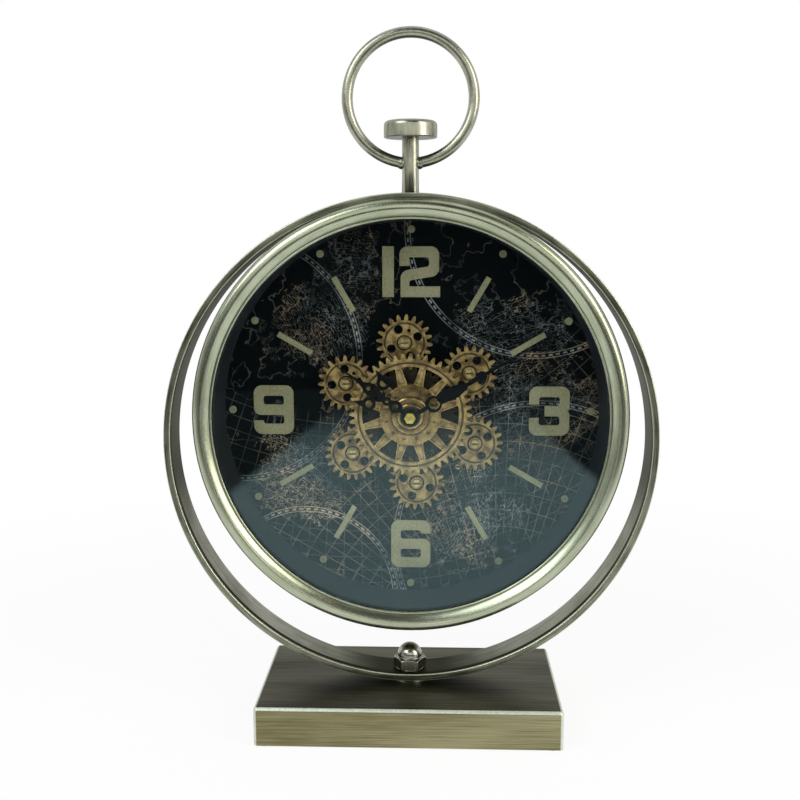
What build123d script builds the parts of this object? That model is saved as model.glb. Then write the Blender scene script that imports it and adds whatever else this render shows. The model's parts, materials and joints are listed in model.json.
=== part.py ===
from build123d import *

import os
from math import acos, cos, pi, radians, sin, tan

# A table clock: a drum with an open gear display hangs in a hoop that stands on a box base.
# Sizes are millimetres, angles degrees. The dial faces -Y, +X is the clock's right, +Z is up,
# and the origin is on the table under the middle of the base.

# Base and foot pads
base_width = 147.4
base_depth = 80.0
base_height = 19.0
base_sheet = 1.2
base_edge_radius = 2.0
base_rim = 10.0
pad_height = 0.5
pad_radius = 4.2

# Bolt that joins base and hoop
bolt_radius = 4.0
bolt_head_flats = 13.0
bolt_head_height = 5.3
washer_radius = 8.0
washer_height = 1.6
bolt_spacer_radius = 9.0
bolt_spacer_height = 1.5
dome_washer_height = 0.8
dome_nut_flats = 14.4
dome_nut_hex_height = 5.4
dome_nut_chamfer = 30.0
dome_nut_face_inset = 0.3
dome_nut_height = 12.2
dome_nut_dome_radius = 6.2
dome_nut_wall = 3.0

# Hoop
hoop_width = 20.0
hoop_wall = 3.4
hoop_rounding = 0.6
hoop_bead_width = 1.6
hoop_groove_width = 0.6
hoop_groove_depth = 0.5
drum_lift = 25.5

# Stem, crown and bail ring
stem_radius = 4.0
stem_length = 25.6
stem_thread_radius = 2.5
crown_radius = 12.6
crown_height = 7.8
crown_rounding = 2.2
crown_socket = 3.0
bail_radius = 29.8
bail_wire_radius = 2.6
bail_weld_height = 14.0
bail_weld_radius = 2.9
hanger_pad_side = 12.0
stem_washer_radius = 5.0
stem_washer_height = 0.8
stem_nut_flats = 8.0
stem_nut_height = 4.0

# Drum, bezel and glass
drum_radius = 103.5
drum_wall = 1.2
drum_flange = 9.0
bezel_gap = 0.4
bezel_overhang = 1.4
bezel_width = 9.5
bezel_height = 5.0
bezel_edge = 0.8
bezel_shoulder = 2.9
bezel_shoulder_drop = 0.2
bezel_crest = 2.2
bezel_foot_height = 2.8
bezel_line = 0.4
bezel_lip_width = 1.2
bezel_lip_wall = 0.8
bezel_lip_rise = 0.4
bezel_skirt_wall = 1.2
bezel_skirt_length = 6.0
glass_seat_height = 1.5
glass_thickness = 2.0
surround_inset = 0.4
surround_wall = 1.6
dial_recess = 29.4
dial_thickness = 2.0
rear_spacer_wall = 2.0
back_plate_thickness = 1.2
back_window_margin = 2.0
back_window_rounding = 6.0
back_screw_count = 6
back_screw_radius = 1.5
back_screw_length = 4.6
back_screw_head_radius = 2.8
back_screw_head_height = 1.4

# Dial marks
mark_thickness = 0.8
dot_margin = 4.0
dot_radius = 1.9
numeral_gap = 8.4
numeral_height = 25.2
numeral_width = 20.4
numeral_stroke = 5.0
numeral_bar = 5.4
numeral_corner = 4.2
numeral_window_corner = 1.3
numeral_spacing = 2.7
numeral_one_width = 5.8
two_hook_length = 9.7
two_shoulder = 0.6
two_slant = 9.5
three_notch_width = 7.8
three_notch_height = 6.8
three_waist = 1.8
hook_notch_height = 2.8
hook_corner = 3.6
baton_gap = 13.4
baton_length = 19.6
baton_width = 2.8

# Gear display
gear_module = 1.27
gear_pressure_angle = 20.0
gear_slack = 0.10
gear_root_depth = 1.25
small_addendum = 0.8
gear_thickness = 3.0
sun_teeth = 36
planet_teeth = 20
planet_count = 6
first_planet_angle = 95.0
planet_hole_turns = (25.0, 60.0, 28.0, 70.0, 56.0, 6.0)
planet_hole_radius = 2.25
planet_hole_ring = 7.2
planet_mark_radius = 0.9
planet_mark_ring = 6.4
planet_groove_inset = 1.4125
planet_boss_radius = 3.1
planet_boss_height = 0.5
planet_boss_recess = 0.7
groove_width = 0.9
groove_depth = 0.6
display_standoff = 7.1
display_gap = 1.4
wheel_teeth = 48
wheel_post_gap = 2.86
wheel_thickness = 3.0
wheel_groove_inset = 1.946
wheel_rim = 3.846
spoke_count = 12
spoke_inner_width = 5.4
spoke_outer_width = 2.5
spoke_border = 0.7
spoke_panel_depth = 0.5
hub_flange_radius = 15.2
hub_flange_height = 1.4
hub_hole_radius = 0.85
hub_hole_ring = 12.1
hub_step_radius = 9.4
hub_step_height = 2.1
hub_dome_radius = 6.5
hub_dome_height = 2.1
hub_rounding = 0.9
bridge_thickness = 3.0
bridge_hub_radius = 10.0
bridge_arm_width = 6.0
bridge_boss_radius = 3.0
bridge_pillar_radius = 3.0
bridge_pillar_ring = 20.0
bridge_peg_radius = 1.4
post_radius = 1.5
post_head_radius = 2.1
post_head_height = 1.4
screw_slot_width = 0.7
screw_slot_depth = 0.6

# Hands and centre stack
dial_hours = 12
hour_shown = 10
minutes_shown = 9.9
hand_thickness = 0.8
hand_gap = 0.8
hand_boss_radius = 4.2
hand_boss_extra = 0.4
hand_neck_width = 2.0
needle_width = 1.9
ornament_overlap = 0.5
hour_hand_length = 48.3
hour_neck_length = 1.5
hour_eye_radius = 3.2
hour_eye_bore = 1.5
hour_collar_radius = 2.2
hour_collar_bore = 0.9
hour_heart_radius = 3.3
hour_heart_bore = 0.85
hour_heart_spread = 1.9
hour_wing_radius = 3.4
hour_wing_bore = 1.7
hour_wing_lift = 1.5
hour_horn_length = 7.0
hour_crest_radius = 3.0
hour_crest_bore = 1.1
hour_spear_length = 7.5
hour_spear_width = 4.2
minute_hand_length = 67.9
minute_eyelet_at = 13.2
minute_eyelet_radius = 4.1
minute_eyelet_bore = 2.7
minute_bar_length = 15.0
minute_bar_root = 4.2
minute_bar_width = 6.2
minute_bar_widest_at = 9.0
minute_bar_end = 3.2
minute_stalk_length = 6.4
minute_leaf_radius = 2.4
minute_lobe_radius = 1.1
minute_lobe_spread = 1.4
minute_knob_gap = 1.4
minute_knob_radius = 1.25
hand_nut_flats = 4.9
hand_nut_height = 2.4
arbor_radius = 1.25
pipe_wall = 0.85
bush_wall = 1.2
sleeve_wall = 1.4

# Movement
movement_width = 104.0
movement_wall = 1.2
movement_corner = 3.0
cover_thickness = 1.2
cell_radius = 7.1
cell_length = 50.5
cell_nub_radius = 2.75
cell_nub_length = 1.0
cell_clearance = 0.2
contact_thickness = 0.5
contact_side = 9.0
rib_wall = 1.0
train_bay_gap = 0.68
train_plate_thickness = 1.2
train_plate_width = 68.0
train_post_radius = 2.0
train_post_inset = 3.0
wheel_plate_gap = 0.5
sleeve_gear_teeth = 60
idler_pinion_teeth = 10
idler_wheel_teeth = 40
motor_pinion_teeth = 10
drive_module = 0.4
cannon_teeth = 12
minute_wheel_teeth = 36
minute_pinion_teeth = 10
hour_wheel_teeth = 40
motion_module = 0.5
set_pinion_teeth = 12
centre_wheel_teeth = 64
stepper_pinion_teeth = 8
small_wheel_thickness = 1.1
small_stud_radius = 0.7
motor_angle = 30.0
motor_radius = 7.0
motor_length = 6.6
motor_end_gap = 1.0
motor_shaft_radius = 0.75
stepper_angle = -35.0
stepper_gap = 0.416
stepper_length = 3.6
stepper_shaft_radius = 0.5
set_shaft_radius = 1.0
set_knob_radius = 6.0
set_knob_height = 2.6
set_knob_flutes = 16
set_knob_flute_radius = 0.7
movement_screw_across = 24.0
movement_screw_up = 29.0
movement_screw_radius = 0.9
movement_screw_head_radius = 1.5
movement_screw_head_height = 1.0

# Clearances
hole_clearance = 0.3
fit_clearance = 0.1
running_clearance = 0.08
hoop_clearance = 0.7
loose_clearance = 0.4

# Heights worked out from the sizes above
hoop_radius = drum_radius + (2 * hoop_wall + hoop_clearance + drum_lift) / 2
base_top = pad_height + base_height
hoop_z = base_top + bolt_spacer_height + hoop_radius
hoop_top = hoop_z + hoop_radius
clock_z = hoop_z + hoop_radius - hoop_wall - hoop_clearance - drum_radius
crown_bottom = hoop_top + stem_length
bail_z = hoop_top + bail_weld_height + bail_radius

# Depths worked out from the sizes above, front to back
drum_front = -hoop_width / 2 - bezel_gap
glass_front = drum_front - glass_seat_height
glass_back = glass_front + glass_thickness
dial_face = glass_back + dial_recess
dial_back = dial_face + dial_thickness
planet_back = dial_face - display_standoff
planet_front = planet_back - gear_thickness
wheel_back = planet_front - display_gap
wheel_front = wheel_back - wheel_thickness
hub_front = wheel_front - hub_flange_height - hub_step_height - hub_dome_height
hour_hand_back = hub_front - hand_gap
minute_hand_back = hour_hand_back - hand_thickness - hand_gap
minute_hand_front = minute_hand_back - hand_thickness
nut_front = minute_hand_front - hand_nut_height
bridge_front = planet_back + display_gap
bridge_back = bridge_front + bridge_thickness

# Depths of the wheels behind the dial, front to back
train_front = dial_back + movement_wall + wheel_plate_gap
idler_front = train_front + small_wheel_thickness + 2 * wheel_plate_gap
train_plate_front = idler_front + small_wheel_thickness + wheel_plate_gap
train_plate_back = train_plate_front + train_plate_thickness
hour_wheel_front = train_plate_back + wheel_plate_gap
minute_wheel_front = hour_wheel_front + small_wheel_thickness + wheel_plate_gap
centre_wheel_front = minute_wheel_front + small_wheel_thickness + 2 * wheel_plate_gap
centre_wheel_back = centre_wheel_front + small_wheel_thickness
cover_front = train_plate_back + motor_length + motor_end_gap
cover_back = cover_front + cover_thickness
drum_back = cover_back
movement_depth = cover_front - dial_back

# Radii worked out from the sizes above
drum_bore = drum_radius - drum_wall
glass_opening_radius = drum_radius + bezel_overhang - bezel_width
surround_radius = glass_opening_radius - surround_inset
skirt_radius = drum_bore - fit_clearance
glass_radius = skirt_radius - bezel_skirt_wall - loose_clearance
dial_radius = drum_bore - loose_clearance
pipe_bore = arbor_radius + running_clearance
pipe_radius = pipe_bore + pipe_wall
bush_bore = pipe_radius + running_clearance
bush_radius = bush_bore + bush_wall
sleeve_bore = bush_radius + running_clearance
sleeve_radius = sleeve_bore + sleeve_wall
orbit_radius = gear_module * (sun_teeth + planet_teeth) / 2
planet_groove_ring = gear_module * (planet_teeth / 2 - gear_root_depth) - planet_groove_inset
wheel_module = (orbit_radius - post_head_radius - wheel_post_gap) / (wheel_teeth / 2 + 1)
wheel_root = wheel_module * (wheel_teeth / 2 - gear_root_depth)
wheel_groove_ring = wheel_root - wheel_groove_inset
wheel_window_outer = wheel_root - wheel_rim
dot_ring = surround_radius - dot_margin
numeral_ring = dot_ring - numeral_gap - numeral_height / 2
back_screw_ring = drum_radius - drum_wall - drum_flange / 2

# Places of the small wheels, seen from the front, from the dial centre
idler_x = drive_module * (sleeve_gear_teeth + idler_pinion_teeth) / 2
motor_reach = drive_module * (idler_wheel_teeth + motor_pinion_teeth) / 2
motor_x = idler_x + motor_reach * cos(radians(motor_angle))
motor_z = motor_reach * sin(radians(motor_angle))
minute_wheel_reach = motion_module * (cannon_teeth + minute_wheel_teeth) / 2
hour_module = 2 * minute_wheel_reach / (minute_pinion_teeth + hour_wheel_teeth)
set_reach = minute_wheel_reach + motion_module * (minute_wheel_teeth + set_pinion_teeth) / 2
stepper_reach = drive_module * (centre_wheel_teeth + stepper_pinion_teeth) / 2
stepper_radius = stepper_reach - hour_module * (hour_wheel_teeth / 2 + small_addendum) - stepper_gap
stepper_x = stepper_reach * cos(radians(stepper_angle))
stepper_z = stepper_reach * sin(radians(stepper_angle))
bay_wall_z = drive_module * (centre_wheel_teeth / 2 + small_addendum) + train_bay_gap + rib_wall
cell_z = bay_wall_z + cell_clearance + cell_radius
cell_y = dial_back + movement_wall + cell_clearance + cell_radius
movement_height = 2 * (cell_z + cell_radius + cell_clearance + movement_wall)
bay_end_x = cell_length / 2 + cell_clearance + contact_thickness


def plate(outline, front, thickness):
    """Extrude an outline drawn as seen from the front, about the dial centre."""
    solid = extrude(Plane.XZ * outline, amount=thickness)
    return Pos(0, front + thickness, clock_z) * solid


def disc(radius, front, thickness, bore=0.0, at=(0.0, 0.0)):
    """A round plate, with a bore where one is given."""
    outline = Circle(radius)
    if bore > 0:
        outline -= Circle(bore)
    return plate(Pos(*at) * outline, front, thickness)


def lathe(profile):
    """Turn a profile of (radius, depth) about the dial axis."""
    return Pos(0, 0, clock_z) * revolve(make_face(profile), Axis.Y)


def polar(radius, angle):
    """A point on a circle, angle in degrees from the right."""
    return (radius * cos(radians(angle)), radius * sin(radians(angle)))


def around(outline, count, radius, start=0.0):
    """Copies of an outline round a circle, each turned with its place."""
    step = 360 / count
    return [Rot(0, 0, start + step * k) * (Pos(radius, 0) * outline) for k in range(count)]


def hexagon(flats):
    """A hexagon with two corners on the X axis."""
    return RegularPolygon(flats / 2, 6, major_radius=False)


def gear_outline(teeth, module, turn=0.0, addendum=1.0, slack=gear_slack):
    """An involute gear with a tooth centred at the angle turn; slack thins each flank."""
    pitch = module * teeth / 2
    pressure = radians(gear_pressure_angle)
    base = pitch * cos(pressure)
    tip = pitch + addendum * module
    root = pitch - gear_root_depth * module
    flank_start = max(root, base)
    half_pitch = pi / (2 * teeth) - slack * module / pitch

    def half_angle(radius):
        roll = acos(min(1.0, base / radius))
        return half_pitch + (tan(pressure) - pressure) - (tan(roll) - roll)

    def point(radius, angle):
        return (radius * cos(angle), radius * sin(angle))

    middle = (flank_start + tip) / 2
    edges = []
    for k in range(teeth):
        centre = radians(turn) + 2 * pi * k / teeth
        following = centre + 2 * pi / teeth
        low, mid, high = half_angle(flank_start), half_angle(middle), half_angle(tip)
        rise = [point(flank_start, centre - low), point(middle, centre - mid), point(tip, centre - high)]
        fall = [point(tip, centre + high), point(middle, centre + mid), point(flank_start, centre + low)]
        foot, next_foot = point(root, centre + low), point(root, following - low)
        edges += [ThreePointArc(*rise), Line(rise[2], fall[0]), ThreePointArc(*fall)]
        if root < base:
            edges += [Line(fall[2], foot), Line(foot, next_foot)]
            edges.append(Line(next_foot, point(flank_start, following - low)))
        else:
            edges.append(Line(foot, next_foot))
    return make_face(edges)


def meshing_turn(angle, teeth, mate_teeth, mate_turn):
    """The turn of a gear placed at an angle from its mate, with its gap round the mate's tooth."""
    lead = mate_turn - angle
    return angle + 180 + 180 / teeth - lead * mate_teeth / teeth


def slotted(head, radius, front, at):
    """Cut a driver slot across a screw head that faces the front."""
    slot = Pos(*at) * Rectangle(2 * radius, screw_slot_width)
    return head - plate(slot, front, screw_slot_depth)


# Stand


def base_shell():
    middle = pad_height + base_height / 2
    body = Pos(0, 0, middle) * Box(base_width, base_depth, base_height)
    rounded = body.edges().filter_by(Axis.Z) + body.edges().group_by(Axis.Z)[-1]
    body = fillet(rounded, base_edge_radius)
    inside = Box(base_width - 2 * base_sheet, base_depth - 2 * base_sheet, base_height - 2 * base_sheet)
    body -= Pos(0, 0, middle) * inside
    body -= Pos(0, 0, pad_height) * Box(base_width - 2 * base_rim, base_depth - 2 * base_rim, 3 * base_sheet)
    return body - Pos(0, 0, base_top) * Cylinder(bolt_radius + hole_clearance, 3 * base_sheet)


def foot_pads():
    across = base_width / 2 - base_rim / 2
    along = base_depth / 2 - base_rim / 2
    pad = Pos(0, 0, pad_height / 2) * Cylinder(pad_radius, pad_height)
    return [Pos(x, y, 0) * pad for x in (-across, across) for y in (-along, along)]


def upright(radius, bottom, height, bore=0.0):
    """A vertical round piece on the middle line of the clock."""
    solid = Cylinder(radius, height)
    if bore > 0:
        solid -= Cylinder(bore, 2 * height)
    return Pos(0, 0, bottom + height / 2) * solid


base_ceiling = base_top - base_sheet
hoop_floor = hoop_z - hoop_radius + hoop_wall
dome_nut_bottom = hoop_floor + dome_washer_height
bolt_hole = bolt_radius + hole_clearance


def hoop_outside():
    return Pos(0, 0, hoop_z) * Rot(90, 0, 0) * Cylinder(hoop_radius, 2 * hoop_width)


def hoop_inside():
    return Pos(0, 0, hoop_z) * Rot(90, 0, 0) * Cylinder(hoop_radius - hoop_wall, 2 * hoop_width)


def drum_outside():
    return disc(drum_radius, drum_front, drum_back - drum_front)


def bolt_washer():
    return upright(washer_radius, base_ceiling - washer_height, washer_height, bolt_hole)


def base_bolt():
    head_top = base_ceiling - washer_height
    shank_top = dome_nut_bottom + dome_nut_height - dome_nut_dome_radius
    head = extrude(hexagon(bolt_head_flats), amount=-bolt_head_height)
    return Pos(0, 0, head_top) * head + upright(bolt_radius, head_top, shank_top - head_top)


def bolt_spacer():
    blank = upright(bolt_spacer_radius, base_top, 2 * bolt_spacer_height, bolt_hole)
    return blank - hoop_outside()


def dome_washer():
    blank = upright(dome_nut_flats / 2, hoop_floor - dome_washer_height, 2 * dome_washer_height, bolt_hole)
    return blank & hoop_inside()


def dome_nut():
    dome_centre = dome_nut_height - dome_nut_dome_radius
    face_radius = dome_nut_flats / 2 - dome_nut_face_inset
    foot_radius = face_radius + dome_nut_hex_height / tan(radians(dome_nut_chamfer))
    body = extrude(hexagon(dome_nut_flats), amount=dome_nut_hex_height)
    body &= Pos(0, 0, dome_nut_hex_height / 2) * Cone(foot_radius, face_radius, dome_nut_hex_height)
    body += Pos(0, 0, dome_centre / 2) * Cylinder(dome_nut_dome_radius, dome_centre)
    standing = (Align.CENTER, Align.CENTER, Align.MIN)
    body += Pos(0, 0, dome_centre) * Sphere(dome_nut_dome_radius, arc_size1=0, align=standing)
    depth = dome_nut_height - dome_nut_wall
    body -= Pos(0, 0, depth / 2) * Cylinder(bolt_radius + fit_clearance, depth)
    return Pos(0, 0, dome_nut_bottom) * body


def hoop():
    outer, inner = hoop_radius, hoop_radius - hoop_wall
    front, back = -hoop_width / 2, hoop_width / 2
    groove_front = front + hoop_bead_width
    groove_back = groove_front + hoop_groove_width
    groove_floor = inner + hoop_groove_depth
    profile = Polyline((outer, front), (outer, back), (inner, back), (inner, groove_back),
                       (groove_floor, groove_back), (groove_floor, groove_front), (inner, groove_front),
                       (inner, front), close=True)
    ring = revolve(make_face(profile), Axis.Y)
    front_edges = ring.edges().filter_by(GeomType.CIRCLE).group_by(Axis.Y)[0]
    ring = Pos(0, 0, hoop_z) * fillet(front_edges, hoop_rounding)
    ring -= upright(bolt_hole, base_top, 3 * hoop_wall + bolt_spacer_height)
    return ring - upright(stem_thread_radius + fit_clearance, hoop_top - 3 * hoop_wall, 6 * hoop_wall)


# Stem, crown and bail ring

drum_top = clock_z + drum_radius
stem_washer_top = clock_z + (drum_bore ** 2 - stem_washer_radius ** 2) ** 0.5
stem_nut_top = stem_washer_top - stem_washer_height
stem_bottom = stem_nut_top - stem_nut_height


def stem():
    shoulder = hoop_top - stem_radius
    rod = upright(stem_radius, shoulder, crown_bottom + crown_socket - shoulder) - hoop_outside()
    return rod + upright(stem_thread_radius, stem_bottom, hoop_top - stem_bottom)


def crown():
    cap = upright(crown_radius, crown_bottom, crown_height)
    cap = fillet(cap.edges().group_by(Axis.Z)[-1], crown_rounding)
    return cap - upright(stem_radius, crown_bottom - crown_socket, 2 * crown_socket)


def bail_ring():
    ring = Pos(0, 0, bail_z) * Rot(90, 0, 0) * Torus(bail_radius, bail_wire_radius)
    weld_z = hoop_top + bail_weld_height
    for side in (-1, 1):
        ring += Pos(side * stem_radius, 0, weld_z) * Sphere(bail_weld_radius)
    return ring - upright(stem_radius, hoop_top, stem_length)


def hanger_pad():
    blank = Pos(0, 0, drum_top) * Box(hanger_pad_side, hanger_pad_side, hanger_pad_side)
    blank = (blank & hoop_inside()) - drum_outside()
    return blank - upright(stem_thread_radius + fit_clearance, stem_bottom, hoop_top - stem_bottom)


def stem_washer():
    bottom = stem_washer_top - stem_washer_height
    return upright(stem_washer_radius, bottom, stem_washer_height, stem_thread_radius + fit_clearance)


def stem_nut():
    outline = hexagon(stem_nut_flats) - Circle(stem_thread_radius + fit_clearance)
    return Pos(0, 0, stem_bottom) * extrude(outline, amount=stem_nut_height)


# Drum, bezel, glass and dial


def back_screw_places():
    return [polar(back_screw_ring, 360 * (k + 0.5) / back_screw_count) for k in range(back_screw_count)]


def case_drum():
    wall = disc(drum_radius, drum_front, drum_back - drum_front, drum_bore)
    flange_bore = drum_bore - drum_flange
    flange = disc(drum_bore, drum_back - drum_wall, drum_wall, flange_bore)
    drum = wall + flange
    for place in back_screw_places():
        drum -= disc(back_screw_radius + fit_clearance, drum_back - 2 * drum_wall, 3 * drum_wall, at=place)
    hole = stem_thread_radius + fit_clearance
    return drum - upright(hole, drum_top - 3 * drum_wall, 5 * drum_wall)


def front_bezel():
    outer, opening = drum_radius + bezel_overhang, glass_opening_radius
    lip = opening + bezel_lip_width
    edge_y = drum_front - bezel_edge
    crest_y = drum_front - bezel_height
    shoulder_y = crest_y + bezel_shoulder_drop
    lip_y = glass_front - bezel_lip_wall
    seat = skirt_radius - bezel_skirt_wall
    skirt_back = drum_front + bezel_skirt_length
    shoulder = outer - bezel_shoulder
    crest = shoulder - bezel_crest
    half_way = (shoulder + bezel_shoulder * cos(pi / 4), edge_y - (edge_y - shoulder_y) * sin(pi / 4))
    rounded = ThreePointArc((outer, edge_y), half_way, (shoulder, shoulder_y))
    foot = (lip + bezel_line, drum_front - bezel_foot_height)
    slope = Polyline((shoulder, shoulder_y), (crest, crest_y), foot, (lip, lip_y))
    bead = ThreePointArc((lip, lip_y), ((lip + opening) / 2, lip_y - bezel_lip_rise), (opening, lip_y))
    back = Polyline((opening, lip_y), (opening, glass_front), (seat, glass_front), (seat, skirt_back),
                    (skirt_radius, skirt_back), (skirt_radius, drum_front), (outer, drum_front),
                    (outer, edge_y))
    return lathe([rounded, slope, bead, back])


def glass_lens():
    return disc(glass_radius, glass_front, glass_thickness)


def inner_wall():
    return disc(surround_radius + surround_wall, glass_back, dial_recess, surround_radius)


def movement_screw_places():
    low = -movement_screw_up
    return [(-movement_screw_across, low), (movement_screw_across, low), (0, movement_screw_up)]


def dial_plate():
    outline = Circle(dial_radius) - Circle(sleeve_radius + loose_clearance)
    for place in movement_screw_places():
        outline -= Pos(*place) * Circle(movement_screw_radius + fit_clearance)
    for place in pillar_places():
        outline -= Pos(*place) * Circle(bridge_peg_radius + fit_clearance)
    return plate(outline, dial_face, dial_thickness)


def rear_spacer():
    return disc(dial_radius, dial_back, drum_back - drum_wall - dial_back, dial_radius - rear_spacer_wall)


def back_plate():
    window = RectangleRounded(movement_width + 2 * back_window_margin,
                              movement_height + 2 * back_window_margin, back_window_rounding)
    outline = Circle(drum_bore) - window
    for place in back_screw_places():
        outline -= Pos(*place) * Circle(back_screw_radius + fit_clearance)
    return plate(outline, drum_back, back_plate_thickness)


def back_screws():
    screws = []
    head_front = drum_back + back_plate_thickness
    for place in back_screw_places():
        shank = disc(back_screw_radius, head_front - back_screw_length, back_screw_length, at=place)
        head = disc(back_screw_head_radius, head_front, back_screw_head_height, at=place)
        slot = Pos(*place) * Rectangle(2 * back_screw_head_radius, screw_slot_width)
        cut = plate(slot, head_front + back_screw_head_height - screw_slot_depth, screw_slot_depth)
        screws.append(shank + head - cut)
    return screws


# Dial marks

window_height = (numeral_height - 3 * numeral_bar) / 2
window_width = numeral_width - 2 * numeral_stroke
window_offset = (numeral_bar + window_height) / 2
quarter_width = numeral_width / 4


def numeral_block():
    """A rounded block with an upper and a lower window, the body of 3, 6 and 9."""
    block = RectangleRounded(numeral_width, numeral_height, numeral_corner)
    window = RectangleRounded(window_width, window_height, numeral_window_corner)
    for side in (-1, 1):
        block -= Pos(0, side * window_offset) * window
    return block


def soften(outline, corner, radius):
    """Round the one corner of an outline that lies at a point."""
    nearest = outline.vertices().sort_by_distance(corner + (0,))[0]
    return fillet(nearest, radius)


def digit_two():
    right, top = numeral_width / 2, numeral_height / 2
    side = right - two_shoulder
    fall = tan(radians(two_slant))
    hook_z = top - two_hook_length
    window_x, window_top = side - numeral_stroke, top - numeral_bar
    bar_top = window_top - window_height
    shoulder = (-side, bar_top - (window_x + side) * fall)
    heel = (side, bar_top - numeral_bar + numeral_stroke * fall)
    foot_x, foot_top = -right + numeral_stroke, numeral_bar - top
    inner = (foot_x, heel[1] - (side - foot_x) * fall)
    points = [(-right, hook_z), (foot_x, hook_z), (foot_x, window_top), (window_x, window_top),
              (window_x, bar_top), shoulder, (-side, -top), (right, -top), (right, foot_top),
              (foot_x, foot_top), inner, heel, (side, top), (-right, top)]
    two = Polygon(*points, align=None)
    for corner in ((-right, top), (side, top), heel, shoulder):
        two = soften(two, corner, numeral_corner)
    for corner in (inner, (window_x, bar_top), (window_x, window_top)):
        two = soften(two, corner, numeral_window_corner)
    return two


def digit_three():
    left = (three_notch_width - numeral_width) / 2
    block = numeral_block() - Pos(left, 0) * Rectangle(three_notch_width, three_notch_height)
    return block - Pos(numeral_width / 2, 0) * Rot(0, 0, 45) * Rectangle(three_waist, three_waist)


def digit_nine():
    window_top = window_height / 2 - window_offset
    gap = Rectangle(2 * quarter_width, hook_notch_height)
    block = numeral_block() - Pos(-quarter_width, window_top - hook_notch_height / 2) * gap
    return soften(block, (-numeral_width / 2, window_top), hook_corner)


def dial_mark(outline):
    return plate(outline, dial_face - mark_thickness, mark_thickness)


def numeral_twelve():
    total = numeral_one_width + numeral_spacing + numeral_width
    one = Pos((numeral_one_width - total) / 2, numeral_ring) * Rectangle(numeral_one_width, numeral_height)
    two = Pos((total - numeral_width) / 2, numeral_ring) * digit_two()
    return [dial_mark(one), dial_mark(two)]


def numeral_three():
    return dial_mark(Pos(numeral_ring, 0) * digit_three())


def numeral_six():
    return dial_mark(Pos(0, -numeral_ring) * Rot(0, 0, 180) * digit_nine())


def numeral_nine():
    return dial_mark(Pos(-numeral_ring, 0) * digit_nine())


def hour_batons():
    middle = dot_ring - baton_gap - baton_length / 2
    batons = around(Rectangle(baton_length, baton_width), dial_hours, middle)
    return [dial_mark(baton) for hour, baton in enumerate(batons) if hour % 3]


def hour_dots():
    return [dial_mark(dot) for dot in around(Circle(dot_radius), dial_hours, dot_ring)]


# Gear display


def planet_places():
    step = 360 / planet_count
    return [first_planet_angle - step * k for k in range(planet_count)]


def pillar_places():
    return [polar(bridge_pillar_ring, angle) for angle in planet_places()[::2]]


def gear_bridge():
    outline = Circle(bridge_hub_radius)
    for angle in planet_places():
        arm = Pos(orbit_radius / 2, 0) * Rectangle(orbit_radius, bridge_arm_width)
        outline += Rot(0, 0, angle) * arm
        outline += Pos(*polar(orbit_radius, angle)) * Circle(bridge_arm_width / 2)
    bridge = plate(outline - Circle(sleeve_radius + hole_clearance), bridge_front, bridge_thickness)
    boss_front = planet_back + hole_clearance
    for angle in planet_places():
        place = polar(orbit_radius, angle)
        bridge += disc(bridge_boss_radius, boss_front, bridge_front - boss_front, at=place)
        bridge -= disc(post_radius + fit_clearance, boss_front, bridge_back - boss_front, at=place)
    for place in pillar_places():
        bridge += disc(bridge_pillar_radius, bridge_back, dial_face - bridge_back, at=place)
        bridge += disc(bridge_peg_radius, dial_face, dial_thickness, at=place)
    return bridge


def planet_posts():
    head_back = planet_front - planet_boss_height - running_clearance
    posts = []
    for angle in planet_places():
        place = polar(orbit_radius, angle)
        pin = disc(post_radius, head_back, bridge_back - head_back, at=place)
        pin += disc(post_head_radius, head_back - post_head_height, post_head_height, at=place)
        posts.append(slotted(pin, post_head_radius, head_back - post_head_height, place))
    return posts


def ring_groove(radius, front, at=(0.0, 0.0)):
    """The ring-shaped cutter of a groove turned into a wheel's face."""
    return disc(radius + groove_width / 2, front, groove_depth, radius - groove_width / 2, at)


def planet_gear(number):
    angle = planet_places()[number]
    place = polar(orbit_radius, angle)
    turn = meshing_turn(angle, planet_teeth, sun_teeth, first_planet_angle)
    outline = gear_outline(planet_teeth, gear_module, turn)
    for hole in around(Circle(planet_hole_radius), 4, planet_hole_ring, planet_hole_turns[number]):
        outline -= hole
    mark_turn = planet_hole_turns[number] + 45
    outline -= Pos(*polar(planet_mark_ring, mark_turn)) * Circle(planet_mark_radius)
    gear = plate(Pos(*place) * outline, planet_front, gear_thickness)
    gear -= ring_groove(planet_groove_ring, planet_front, place)
    recess = planet_boss_radius + planet_boss_recess
    gear -= disc(recess, planet_front, groove_depth, planet_boss_radius, place)
    gear += disc(planet_boss_radius, planet_front - planet_boss_height, planet_boss_height, at=place)
    bore = post_radius + running_clearance
    length = gear_thickness + planet_boss_height
    return gear - disc(bore, planet_front - planet_boss_height, length, at=place)


def sun_gear():
    outline = gear_outline(sun_teeth, gear_module, first_planet_angle)
    gear = plate(outline, planet_front, gear_thickness)
    gear += disc(hub_step_radius, wheel_back, display_gap)
    return gear - disc(sleeve_radius, wheel_back, display_gap + gear_thickness)


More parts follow.
